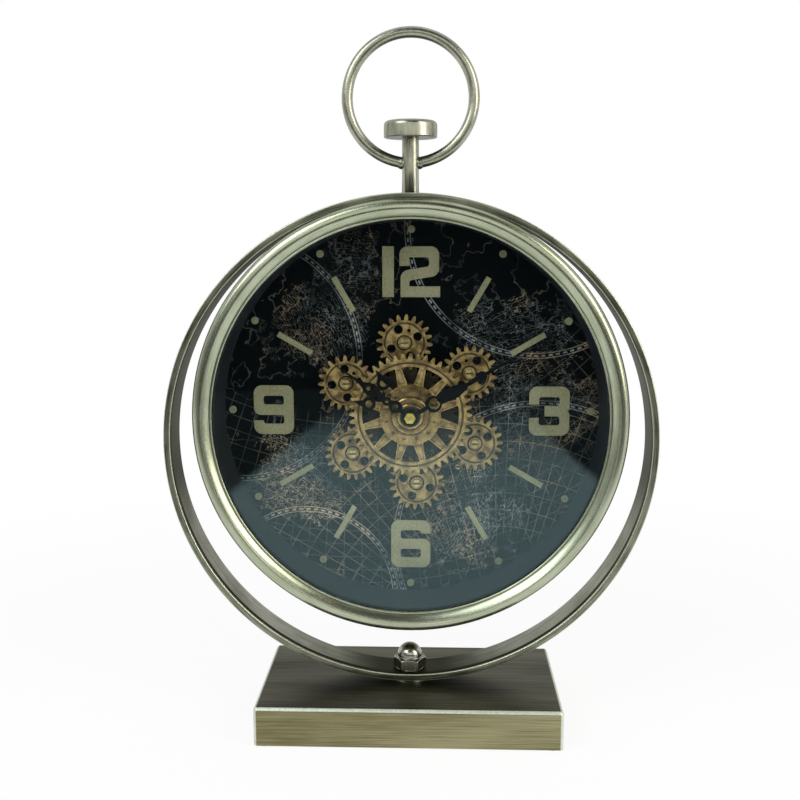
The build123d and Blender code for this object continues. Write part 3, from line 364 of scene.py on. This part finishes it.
def cellSkin(name, look):  # a dry cell's sleeve, coloured by its length, with bare ends
    n = newNodes(name)
    low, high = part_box("clock_cell")
    share = (n.parts(n.place())[0] - low.x / mm) / ((high.x - low.x) / mm)
    grain = n.noise(n.place(), 1.2, 3.0)
    colour = n.mix(n.ramp(share, 0.7, 0.71), look["long"], look["short"])
    bare = n.ramp(share, 0.03, 0.02) | n.ramp(share, 0.955, 0.96)
    colour = n.mix(bare, colour, look["bare"])
    return n.shade({
        "Base Color": n.mix(grain * 0.3, colour, look["dull"]),
        "Metallic": 0.25 + bare * 0.75,
        "Roughness": 0.3 + grain * 0.12,
    })


baseLook = {
    "dark": (0.155, 0.143, 0.066, 1), "pale": (0.36, 0.34, 0.195, 1), "wornAndGlint": (0.66, 0.72, 0.61, 1),
    # the top colours are painted shade on upward faces
    "dull": (0.05, 0.05, 0.035, 1), "top": ((0.034, 0.033, 0.018, 1), (0.162, 0.155, 0.108, 1)),
    "rough": 0.4, "grain": (0.022, 2.6, 2.6), "stretch": (0.2, 1, 1), "wearAndGlint": 1.0, "bare": 0.5,
    "filmAndShade": 0.3, "depth": 0.02,
}
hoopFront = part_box("hoop")[0].y / mm
hoopLook = {
    "dark": (0.10, 0.112, 0.076, 1), "pale": (0.33, 0.35, 0.26, 1), "wornAndGlint": (0.78, 0.8, 0.64, 1),
    "dull": (0.03, 0.03, 0.022, 1), "rough": 0.34, "grain": 1.6, "sweep": 5.0, "turned": hoopCentre,
    "inner": ((0.025, 0.027, 0.019, 1), (0.10, 0.103, 0.083, 1), (0.9, 0.905, 0.8, 1)),
    "wearAndGlint": 0.8, "bare": 0.4, "filmAndShade": 0.9, "reach": 1.2, "rake": (0.62, 0.62, 0.58, 1),
    "grooveShadow": (hoopFront + 1.2, hoopFront + 4.0, 0.15),
}
bezelLook = {
    "dark": (0.37, 0.41, 0.28, 1), "pale": (0.49, 0.53, 0.40, 1), "wornAndGlint": (0.72, 0.76, 0.64, 1),
    "dull": (0.07, 0.075, 0.045, 1), "rough": 0.27, "grain": 1.2, "sweep": 9.0, "turned": dialCentre,
    "edge": 0.4, "wearAndGlint": 0.2, "filmAndShade": 0.85, "reach": 1.2, "depth": 0.0012, "gloss": 0.06,
}
drumLook = {
    "dark": (0.24, 0.235, 0.16, 1), "pale": (0.36, 0.35, 0.25, 1), "wornAndGlint": (0.62, 0.62, 0.5, 1),
    "dull": (0.05, 0.05, 0.035, 1), "rough": 0.36, "grain": 1.6, "sweep": 24.0, "turned": dialCentre,
}
bailLook = {
    "dark": (0.34, 0.35, 0.27, 1), "pale": (0.46, 0.47, 0.37, 1), "wornAndGlint": (0.74, 0.76, 0.64, 1),
    # the under colour is painted shade on downward faces
    "dull": (0.05, 0.048, 0.03, 1), "under": (0.07, 0.07, 0.05, 1), "rough": 0.3, "grain": (0.5, 0.5, 0.2),
    "filmAndShade": 0.9, "edge": 0.5, "depth": 0.002, "gloss": 0.08,
}
steelLook = {
    "dark": (0.30, 0.30, 0.25, 1), "pale": (0.48, 0.48, 0.42, 1), "wornAndGlint": (0.85, 0.86, 0.8, 1),
    "dull": (0.04, 0.04, 0.03, 1), "rough": 0.22, "grain": (0.8, 0.8, 0.8), "edge": 0.6, "wearAndGlint": 0.9,
}
gearLook = {
    "dark": (0.13, 0.09, 0.028, 1), "pale": (0.46, 0.35, 0.135, 1), "wornAndGlint": (0.95, 0.8, 0.44, 1),
    "dull": (0.006, 0.004, 0.002, 1), "rough": 0.36, "filmAndShade": 1.0,
}
wheelLook = {
    "dark": (0.2, 0.145, 0.05, 1), "pale": (0.58, 0.45, 0.185, 1), "wornAndGlint": (1.0, 0.87, 0.52, 1),
    "dull": (0.006, 0.004, 0.002, 1), "rough": 0.33, "filmAndShade": 1.0, "wearAndGlint": 0.85,
}
hubLook = {
    "dark": (0.28, 0.205, 0.075, 1), "pale": (0.62, 0.48, 0.2, 1), "wornAndGlint": (1.0, 0.88, 0.54, 1),
    "dull": (0.012, 0.009, 0.004, 1), "rough": 0.15, "reach": 2.4, "filmAndShade": 1.0, "metal": 0.96, "wearAndGlint": 0.9,
}
nutLook = {
    "dark": (0.54, 0.46, 0.06, 1), "pale": (0.8, 0.72, 0.13, 1), "wornAndGlint": (0.98, 0.94, 0.42, 1),
    "dull": (0.08, 0.06, 0.01, 1), "rough": 0.22, "reach": 1.0,
}
screwLook = {
    "dark": (0.40, 0.33, 0.13, 1), "pale": (0.62, 0.54, 0.25, 1), "wornAndGlint": (0.95, 0.88, 0.58, 1),
    "dull": (0.02, 0.016, 0.006, 1), "rough": 0.26, "reach": 0.9, "filmAndShade": 1.0,
}
# near-black bronze for parts behind the wheel: painted shade, with pale edges that are painted glints
shadowDarkLook = {
    "dark": (0.01, 0.007, 0.003, 1), "pale": (0.03, 0.022, 0.01, 1), "wornAndGlint": (0.5, 0.4, 0.19, 1),
    "dull": (0.002, 0.0014, 0.0007, 1), "rough": 0.45, "filmAndShade": 1.0, "edge": 0.5, "wearAndGlint": 0.9,
}
markLook = {
    "grain": 0.8, "dark": (0.21, 0.22, 0.115, 1), "pale": (0.33, 0.34, 0.2, 1),
    "wornAndGlint": (0.6, 0.61, 0.44, 1), "rough": 0.42, "metal": 0.35, "wearAndGlint": 0.4,
}
handLook = {
    "grain": 1.2, "dark": (0.0015, 0.0022, 0.0025, 1), "pale": (0.004, 0.006, 0.0065, 1),
    "wornAndGlint": (0.02, 0.025, 0.025, 1), "rough": 0.4, "wearAndGlint": 0.5, "sheen": 0.08,
}
cardLook = {
    "grain": 0.6, "dark": (0.012, 0.016, 0.02, 1), "pale": (0.022, 0.028, 0.034, 1),
    "wornAndGlint": (0.05, 0.055, 0.06, 1), "rough": 0.55, "sheen": 0.2,
}
plasticLook = {
    "grain": 2.5, "dark": (0.016, 0.016, 0.017, 1), "pale": (0.028, 0.028, 0.03, 1),
    "wornAndGlint": (0.07, 0.07, 0.07, 1), "rough": 0.42,
}
trainLook = {
    "grain": 1.5, "dark": (0.022, 0.017, 0.01, 1), "pale": (0.04, 0.031, 0.018, 1),
    "wornAndGlint": (0.09, 0.075, 0.045, 1), "rough": 0.42,
}
feltLook = {
    "grain": 4.0, "dark": (0.02, 0.018, 0.015, 1), "pale": (0.05, 0.045, 0.04, 1),
    "wornAndGlint": (0.08, 0.07, 0.06, 1), "rough": 0.85, "depth": 0.1,
}
chartLook = {
    "ground": (0.0006, 0.0012, 0.0014, 1), "ground2": (0.0018, 0.0036, 0.0044, 1),
    "ink": (0.34, 0.40, 0.39, 1), "warm": (0.46, 0.39, 0.28, 1),
    "grids": ((-30, 150, 7.0, 150, 150, 260, 0.2), (46, -128, 9.0, 110, 60, 146, 0.34)),
    "arcs": ((-88, 26, 62, 110, 0.7), (66, -70, 74, 124, 1.0), (62, 92, 64, 110, 0.7),
             (-54, -98, 46, 76, 1.0)),
    "hatches": ((0.5, 1.2, -46, 44, 26, 0.45), (1.9, 1.3, 52, 30, 30, 0.6),
                (2.7, 1.3, 30, -56, 24, 0.9), (1.2, 1.2, -58, -34, 24, 0.9),
                (1.57, 1.3, 64, -6, 26, 0.3), (1.57, 1.2, -30, 74, 20, 0.22)),
    "stroke": 0.3, "bend": 0.045, "sway": 10.0, "coast": 0.03, "relief": 0.3,
}
cellLook = {
    "long": (0.018, 0.02, 0.022, 1), "short": (0.55, 0.28, 0.10, 1), "bare": (0.62, 0.62, 0.6, 1),
    "dull": (0.08, 0.08, 0.08, 1),
}
glassLook = {"tint": (0.62, 0.95, 1.0, 1), "mirror": 0.038}

basePewter = brushedMetal("basePewter", baseLook)
hoopPewter = brushedMetal("hoopPewter", hoopLook)
bezelNickel = brushedMetal("bezelNickel", bezelLook)
drumPewter = brushedMetal("drumPewter", drumLook)
bailPewter = brushedMetal("bailPewter", bailLook)
brightSteel = brushedMetal("brightSteel", steelLook)
gearBronze = bronze("gearBronze", gearLook)
wheelBronze = bronze("wheelBronze", wheelLook)
shadowDarkBronze = bronze("shadowDarkBronze", shadowDarkLook)
hubBrass = bronze("hubBrass", hubLook)
nutBrass = bronze("nutBrass", nutLook)
screwBrass = bronze("screwBrass", screwLook)
markGold = matte("markGold", markLook)
handBlack = matte("handBlack", handLook)
blackCard = matte("blackCard", cardLook)
mouldedBlack = matte("mouldedBlack", plasticLook)
trainPlastic = matte("trainPlastic", trainLook)
padFelt = matte("padFelt", feltLook)
dialChart = chartPrint("dialChart", chartLook)
frontGlass = clearGlass("frontGlass", glassLook)
cellJacket = cellSkin("cellJacket", cellLook)
print("finishes made:", len(bpy.data.materials))

slotFinish = {
    "base_metal": basePewter, "pad_felt": padFelt, "plated_steel": brightSteel, "hoop_metal": hoopPewter,
    "bail_metal": bailPewter, "drum_metal": drumPewter, "bezel_metal": bezelNickel,
    "clear_glass": frontGlass, "black_card": blackCard, "dial_print": dialChart, "mark_gold": markGold,
    "gear_bronze": gearBronze, "hub_brass": hubBrass, "hand_black": handBlack,
    "moulded_black": mouldedBlack, "train_plastic": trainPlastic, "train_brass": screwBrass,
    "motor_steel": brightSteel, "cell_jacket": cellJacket,
}
for node, cadPiece in frame["nodes"].items():
    for slot in cadPiece.material_slots:
        slot.material = slotFinish[slotOf[node]]


def shadeByFaces(mesh):  # each corner leans to its largest faces, so flats stay flat
    leans = [Vector() for vertex in mesh.vertices]
    for face in mesh.polygons:
        for index in face.vertices:
            leans[index] += face.normal * face.area
    mesh.normals_split_custom_set_from_vertices([lean.normalized() for lean in leans])


def finishPiece(name, bm, finish, nodes, rounding=0.0, sharp=35):
    bmesh.ops.remove_doubles(bm, verts=bm.verts, dist=weld)
    bmesh.ops.recalc_face_normals(bm, faces=bm.faces)
    if rounding:
        limit = math.radians(sharp)
        edges = [edge for edge in bm.edges if edge.is_manifold and edge.calc_face_angle() > limit]
        bmesh.ops.bevel(
            bm, geom=edges, offset=rounding * mm, offset_type="OFFSET", segments=2, profile=0.5,
            affect="EDGES", clamp_overlap=False, material=-1,
        )
    mesh = bpy.data.meshes.new(name)
    bm.to_mesh(mesh)
    bm.free()
    mesh.shade_smooth()
    mesh.materials.append(finish)
    piece = bpy.data.objects.new(name, mesh)
    scene.collection.objects.link(piece)
    if rounding:
        shadeByFaces(mesh)
    else:
        mesh.set_sharp_from_angle(angle=math.radians(sharp))
    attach(piece, body_of(frame["nodes"][nodes[0]])[0])
    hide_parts(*nodes)
    return piece


def surface(bm):
    return sum(area_tri(*(loop.vert.co for loop in corners)) for corners in bm.calc_loop_triangles())


def dress(node, finish, rounding=0.0, sharp=35):  # a merged copy of a CAD node with rounded edges
    bm = bmesh.new()
    bm.from_mesh(frame["nodes"][node].data)
    bmesh.ops.remove_doubles(bm, verts=bm.verts, dist=weld)
    merged = bm.copy()
    flat = math.radians(0.4)
    bmesh.ops.dissolve_limit(merged, angle_limit=flat, verts=merged.verts, edges=merged.edges)
    if abs(surface(merged) / surface(bm) - 1) < 0.001:  # joined flats keep their holes
        bm, merged = merged, bm
    merged.free()
    return finishPiece(node + "_finish", bm, finish, [node], rounding, sharp)


def lathe(points, centre, axis, steps=224):  # a closed profile turned about an axis
    bm = bmesh.new()
    verts = [bm.verts.new(centre + Vector(point) * mm) for point in points]
    rim = [bm.edges.new((verts[i - 1], verts[i])) for i in range(len(verts))]
    bmesh.ops.spin(
        bm, geom=verts + rim, cent=centre, axis=axis, angle=fullTurn, steps=steps, use_merge=True
    )
    return bm


def turnedPiece(name, outline, finish, nodes, centre=dialCentre, sharp=35):  # outline of (radius, y)
    bm = lathe([(radius, depth, 0) for radius, depth in outline], centre, (0, 1, 0))
    return finishPiece(name, bm, finish, nodes, 0.0, sharp)


def squareRound(size):  # how far a rounded corner's middle lies inside each side
    return size * (1 - math.sqrt(0.5))


def arc(first, through, last, steps):  # points on the circle through three points, without the last
    (ax, ay), (bx, by), (cx, cy) = first, through, last
    d = 2 * (ax * (by - cy) + bx * (cy - ay) + cx * (ay - by))
    a, b, c = ax * ax + ay * ay, bx * bx + by * by, cx * cx + cy * cy
    ox = (a * (by - cy) + b * (cy - ay) + c * (ay - by)) / d
    oy = (a * (cx - bx) + b * (ax - cx) + c * (bx - ax)) / d
    start = math.atan2(ay - oy, ax - ox)
    sweep = math.atan2(cy - oy, cx - ox) - start
    middleSweep = math.atan2(by - oy, bx - ox) - start
    if middleSweep % fullTurn > sweep % fullTurn:
        sweep = sweep % fullTurn - fullTurn
    else:
        sweep = sweep % fullTurn
    radius = math.hypot(ax - ox, ay - oy)
    turns = [start + sweep * i / steps for i in range(steps)]
    return [(ox + radius * math.cos(turn), oy + radius * math.sin(turn)) for turn in turns]


baseForm = {"fillet": 2.0, "rim": 10.0, "sheet": 1.2, "flatArea": 300}


def buildBase():
    low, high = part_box("base_shell")
    bm = bmesh.new()
    size = high - low
    at = Matrix.Translation((low + high) / 2) @ Matrix.Diagonal((*size, 1))
    bmesh.ops.create_cube(bm, size=1, matrix=at)
    upper = [edge for edge in bm.edges if max(v.co.z for v in edge.verts) > high.z - mm]
    bmesh.ops.bevel(
        bm, geom=upper, offset=baseForm["fillet"] * mm, offset_type="OFFSET", segments=8,
        profile=0.5, affect="EDGES", material=-1,
    )
    under = [face for face in bm.faces if face.calc_center_median().z < low.z + 0.1 * mm]
    border = list(under[0].edges)
    bmesh.ops.delete(bm, geom=under, context="FACES_ONLY")
    rim, sheet = baseForm["rim"] * mm, baseForm["sheet"] * mm
    corners = ((-1, -1), (1, -1), (1, 1), (-1, 1))
    levels = ((rim, low.z), (rim, low.z + sheet), (sheet, low.z + sheet), (sheet, high.z - sheet))
    loops = []
    for inset, height in levels:  # the turned-in rim and the hollow above it
        x, y = size.x / 2 - inset, size.y / 2 - inset
        loops.append([bm.verts.new((px * x, py * y, height)) for px, py in corners])
    for lower, higher in zip(loops, loops[1:]):
        for i in range(4):
            bm.faces.new((lower[i - 1], lower[i], higher[i], higher[i - 1]))
    bm.faces.new(loops[-1])
    border += [bm.edges.get((loops[0][i - 1], loops[0][i])) for i in range(4)]
    bmesh.ops.triangle_fill(bm, edges=border, use_beauty=True)
    piece = finishPiece("base_box", bm, basePewter, ["base_shell"], 0.0, 60)
    for face in piece.data.polygons:
        face.use_smooth = face.area < baseForm["flatArea"] * mm * mm
    return piece


hoopForm = {
    "wall": 3.4, "round": 0.6, "bead": 1.6, "grooveWidth": 0.6, "grooveDepth": 0.5, "chamfer": 0.3,
}


def buildHoop():
    low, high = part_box("hoop")
    outer = (high.x - low.x) / 2 / mm
    front, back = low.y / mm, high.y / mm
    inner, r, chamfer = outer - hoopForm["wall"], hoopForm["round"], hoopForm["chamfer"]
    c = squareRound(r)
    outline = [(outer, back - chamfer)]
    outline += arc((outer, front + r), (outer - c, front + c), (outer - r, front), 6)
    outline += [(outer - r, front)]
    outline += arc((inner + r, front), (inner + c, front + c), (inner, front + r), 6)
    grooveFront = front + hoopForm["bead"]
    grooveBack = grooveFront + hoopForm["grooveWidth"]
    floor = inner + hoopForm["grooveDepth"]
    outline += [(inner, front + r), (inner, grooveFront), (floor, grooveFront), (floor, grooveBack)]
    outline += [(inner, grooveBack), (inner, back - chamfer), (inner + chamfer, back)]
    outline += [(outer - chamfer, back)]
    return turnedPiece("hoop_band", outline, hoopPewter, ["hoop"], hoopCentre, 40)


bezelForm = {
    "shoulder": ((104.9, -11.2), (104.05, -14.03), (102.0, -15.2)),
    "crest": ((102.0, -15.2), (101.0, -15.36), (99.95, -15.38), (99.65, -15.28), (97.0, -13.2)),
    "lip": ((96.6, -12.7), (96.0, -13.1), (95.4, -12.7)),
    "rest": ((95.4, -12.7), (95.4, -11.9), (101.0, -11.9), (101.0, -4.4), (102.2, -4.4), (102.2, -10.4),
             (104.7, -10.4), (104.9, -10.6)),
}


def buildBezel():
    outline = arc(*bezelForm["shoulder"], 12) + list(bezelForm["crest"])
    outline += arc(*bezelForm["lip"], 8) + list(bezelForm["rest"])
    return turnedPiece("bezel_ring", outline, bezelNickel, ["front_bezel"], dialCentre, 28)


def discSizes(node):  # radius, front and back in mm
    low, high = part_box(node)
    return (high.x - low.x) / 2 / mm, low.y / mm, high.y / mm


glassForm = {"chamfer": 0.4}


def buildGlass():
    radius, front, back = discSizes("glass_lens")
    edge = glassForm["chamfer"]
    outline = [(0, front), (radius - edge, front), (radius, front + edge), (radius, back), (0, back)]
    return turnedPiece("glass_disc", outline, frontGlass, ["glass_lens"])


dialForm = {"hole": 5.5, "chamfer": 0.2}


def buildDial():
    radius, front, back = discSizes("dial_plate")
    hole, edge = dialForm["hole"], dialForm["chamfer"]
    outline = [(hole, front), (radius - edge, front), (radius, front + edge), (radius, back), (hole, back)]
    return turnedPiece("dial_sheet", outline, dialChart, ["dial_plate"])


wallForm = {"thick": 1.6, "chamfer": 0.3}


def buildInnerWall():
    outer, front, back = discSizes("inner_wall")
    inner, edge = outer - wallForm["thick"], wallForm["chamfer"]
    outline = [(outer, front), (outer, back), (inner, back), (inner, front + edge), (inner + edge, front)]
    return turnedPiece("wall_ring", outline, blackCard, ["inner_wall"])


crownForm = {"round": 2.2, "chamfer": 0.4, "steps": 128}


def buildCrown():
    low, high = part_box("crown")
    radius, bottom, top = (high.x - low.x) / 2 / mm, low.z / mm, high.z / mm
    r, edge = crownForm["round"], crownForm["chamfer"]
    c = squareRound(r)
    outline = [(0, bottom), (radius - edge, bottom), (radius, bottom + edge)]
    outline += arc((radius, top - r), (radius - c, top - c), (radius - r, top), 8)
    outline += [(radius - r, top), (0, top)]
    bm = lathe([(across, 0, up) for across, up in outline], Vector(), (0, 0, 1), crownForm["steps"])
    return finishPiece("crown_cap", bm, bailPewter, ["crown"])


buildBase()
buildHoop()
buildBezel()
buildGlass()
buildDial()
buildInnerWall()
buildCrown()
print("turned and folded pieces made")

dressed = {  # finish and rounding in mm
    "case_drum": (drumPewter, 0.25), "back_plate": (drumPewter, 0.2), "back_screws": (brightSteel, 0.15),
    "stem": (bailPewter, 0.0), "bail_ring": (bailPewter, 0.0), "dome_nut": (brightSteel, 0.35),
    "dome_washer": (brightSteel, 0.2), "bolt_spacer": (hoopPewter, 0.2), "hanger_pad": (hoopPewter, 0.2),
    "numeral_twelve": (markGold, 0.16), "numeral_three": (markGold, 0.16), "numeral_six": (markGold, 0.16),
    "numeral_nine": (markGold, 0.16), "hour_batons": (markGold, 0.16), "hour_dots": (markGold, 0.16),
    # the bridge and sun gear take painted shade as a near-black finish
    "movement_screws": (screwBrass, 0.2), "gear_bridge": (shadowDarkBronze, 0.25),
    "planet_posts": (screwBrass, 0.2),
    "great_wheel": (wheelBronze, 0.18), "wheel_hub": (hubBrass, 0.2), "sun_gear": (shadowDarkBronze, 0.15),
    "hour_hand": (handBlack, 0.16), "minute_hand": (handBlack, 0.16), "hand_nut": (nutBrass, 0.2),
    "setting_knob": (mouldedBlack, 0.2), "movement_case": (mouldedBlack, 0.25),
    "movement_cover": (mouldedBlack, 0.2),
}
dressed.update({"planet_gear_%d" % k: (gearBronze, 0.16) for k in range(1, 7)})
for node, (finish, rounding) in dressed.items():
    dress(node, finish, rounding)
print("dressed pieces made:", len(dressed))


floorForm = {"segments": 160, "radius": 1200, "sink": 0.05, "paper": (0.95, 0.95, 0.95, 1)}


def buildFloor():
    bm = bmesh.new()
    radius = floorForm["radius"] * mm
    bmesh.ops.create_circle(bm, cap_ends=True, segments=floorForm["segments"], radius=radius)
    mesh = bpy.data.meshes.new("floor")
    bm.to_mesh(mesh)
    bm.free()
    floor = bpy.data.objects.new("floor", mesh)
    floor.location.z = -floorForm["sink"] * mm
    scene.collection.objects.link(floor)
    n = newNodes("floorPaper")
    x, y, z = n.parts(n.place(scale=(mm, mm, mm)))
    far = n.ramp((x * x + y * y) ** 0.5, 0.2, 0.6)
    camera = n.add("ShaderNodeLightPath", out="Is Camera Ray")
    straight = camera | n.add("ShaderNodeLightPath", out="Is Transmission Ray")
    glossy = n.add("ShaderNodeLightPath", out="Is Glossy Ray")
    side = abs(x) - y * 0.1
    strip = n.ramp(side, 0.24, 0.222) * n.ramp(y, -1.1, -0.55)  # the pale table that the glass mirrors
    wings = n.ramp(abs(x), 0.45, 0.7) * n.ramp(y, -1.0, -0.5)
    mirrored = strip | n.ramp(y, -0.5, -0.2) | wings
    paper = n.add("ShaderNodeBsdfDiffuse", {}, {"Color": floorForm["paper"]})
    strength = straight + glossy * (0.06 + mirrored * 0.94)
    glow = n.add("ShaderNodeEmission", {}, {"Color": white, "Strength": strength})
    share = straight * (0.9 + far * 0.1) | glossy
    surface = n.add("ShaderNodeMixShader", {}, {0: share, 1: paper, 2: glow})
    n.add("ShaderNodeOutputMaterial", {}, {"Surface": surface})
    mesh.materials.append(n.owner)


roomForm = {"least": 0.02, "behind": 0.6, "sides": 0.3, "soft": 0.42}


def buildWorld():
    scene.world = bpy.data.worlds.new("studio")
    n = Nodes(scene.world)
    x, y, z = n.parts(n.add("ShaderNodeTexCoord", out="Generated"))
    camera = n.add("ShaderNodeLightPath", out="Is Camera Ray")
    diffuse = n.add("ShaderNodeLightPath", out="Is Diffuse Ray")
    room = roomForm["least"] + n.ramp(y, -0.55, 0.45) * roomForm["behind"]
    room = room + n.ramp(abs(x), 0.4, 0.9) * roomForm["sides"]
    strength = camera + (1 - camera) * (diffuse * roomForm["soft"] + (1 - diffuse) * room)
    sky = n.add("ShaderNodeBackground", {}, {"Color": white, "Strength": strength})
    n.add("ShaderNodeOutputWorld", {}, {"Surface": sky})


lampAim = Vector((0, 0, 0.15))
lamps = {  # places and sizes in metres
    "keyPanel": {"at": (-0.75, -0.75, 1.0), "size": (0.8, 0.8), "watts": 8.0, "colour": (0.93, 0.97, 1.0)},
    "fillPanel": {"at": (0.95, -0.6, 0.6), "size": (0.5, 0.9), "watts": 7.0, "colour": (1.0, 0.95, 0.86)},
    "frontPanel": {"at": (0.1, -1.35, 0.6), "size": (1.8, 0.5), "watts": 3.6, "colour": (1.0, 0.98, 0.94)},
    "topPanel": {"at": (0.0, 0.1, 1.35), "size": (1.2, 0.9), "watts": 1.4, "colour": (1.0, 1.0, 1.0)},
}


def buildLamps():
    for name, form in lamps.items():
        light = bpy.data.lights.new(name, "AREA")
        light.shape = "RECTANGLE"
        light.size, light.size_y = form["size"]
        light.energy = form["watts"]
        light.color = form["colour"]
        lamp = bpy.data.objects.new(name, light)
        lamp.location = form["at"]
        lamp.rotation_euler = (lampAim - lamp.location).to_track_quat("-Z", "Y").to_euler()
        lamp.visible_camera = False
        scene.collection.objects.link(lamp)


cameraForm = {"at": (12.0, -509.2, 239.6), "lens": 47.39, "down": 8.7, "turn": 1.909, "near": 10.0}


def buildCamera():
    camera = bpy.data.objects.new("camera", bpy.data.cameras.new("camera"))
    camera.data.lens = cameraForm["lens"]
    camera.data.clip_start = cameraForm["near"] * mm
    turn = Matrix.Rotation(math.radians(cameraForm["turn"]), 4, "Z")
    down = Matrix.Rotation(math.radians(90 - cameraForm["down"]), 4, "X")
    camera.matrix_world = Matrix.Translation(Vector(cameraForm["at"]) * mm) @ turn @ down
    scene.collection.objects.link(camera)
    scene.camera = camera


buildFloor()
buildWorld()
buildLamps()
buildCamera()
print("studio made")
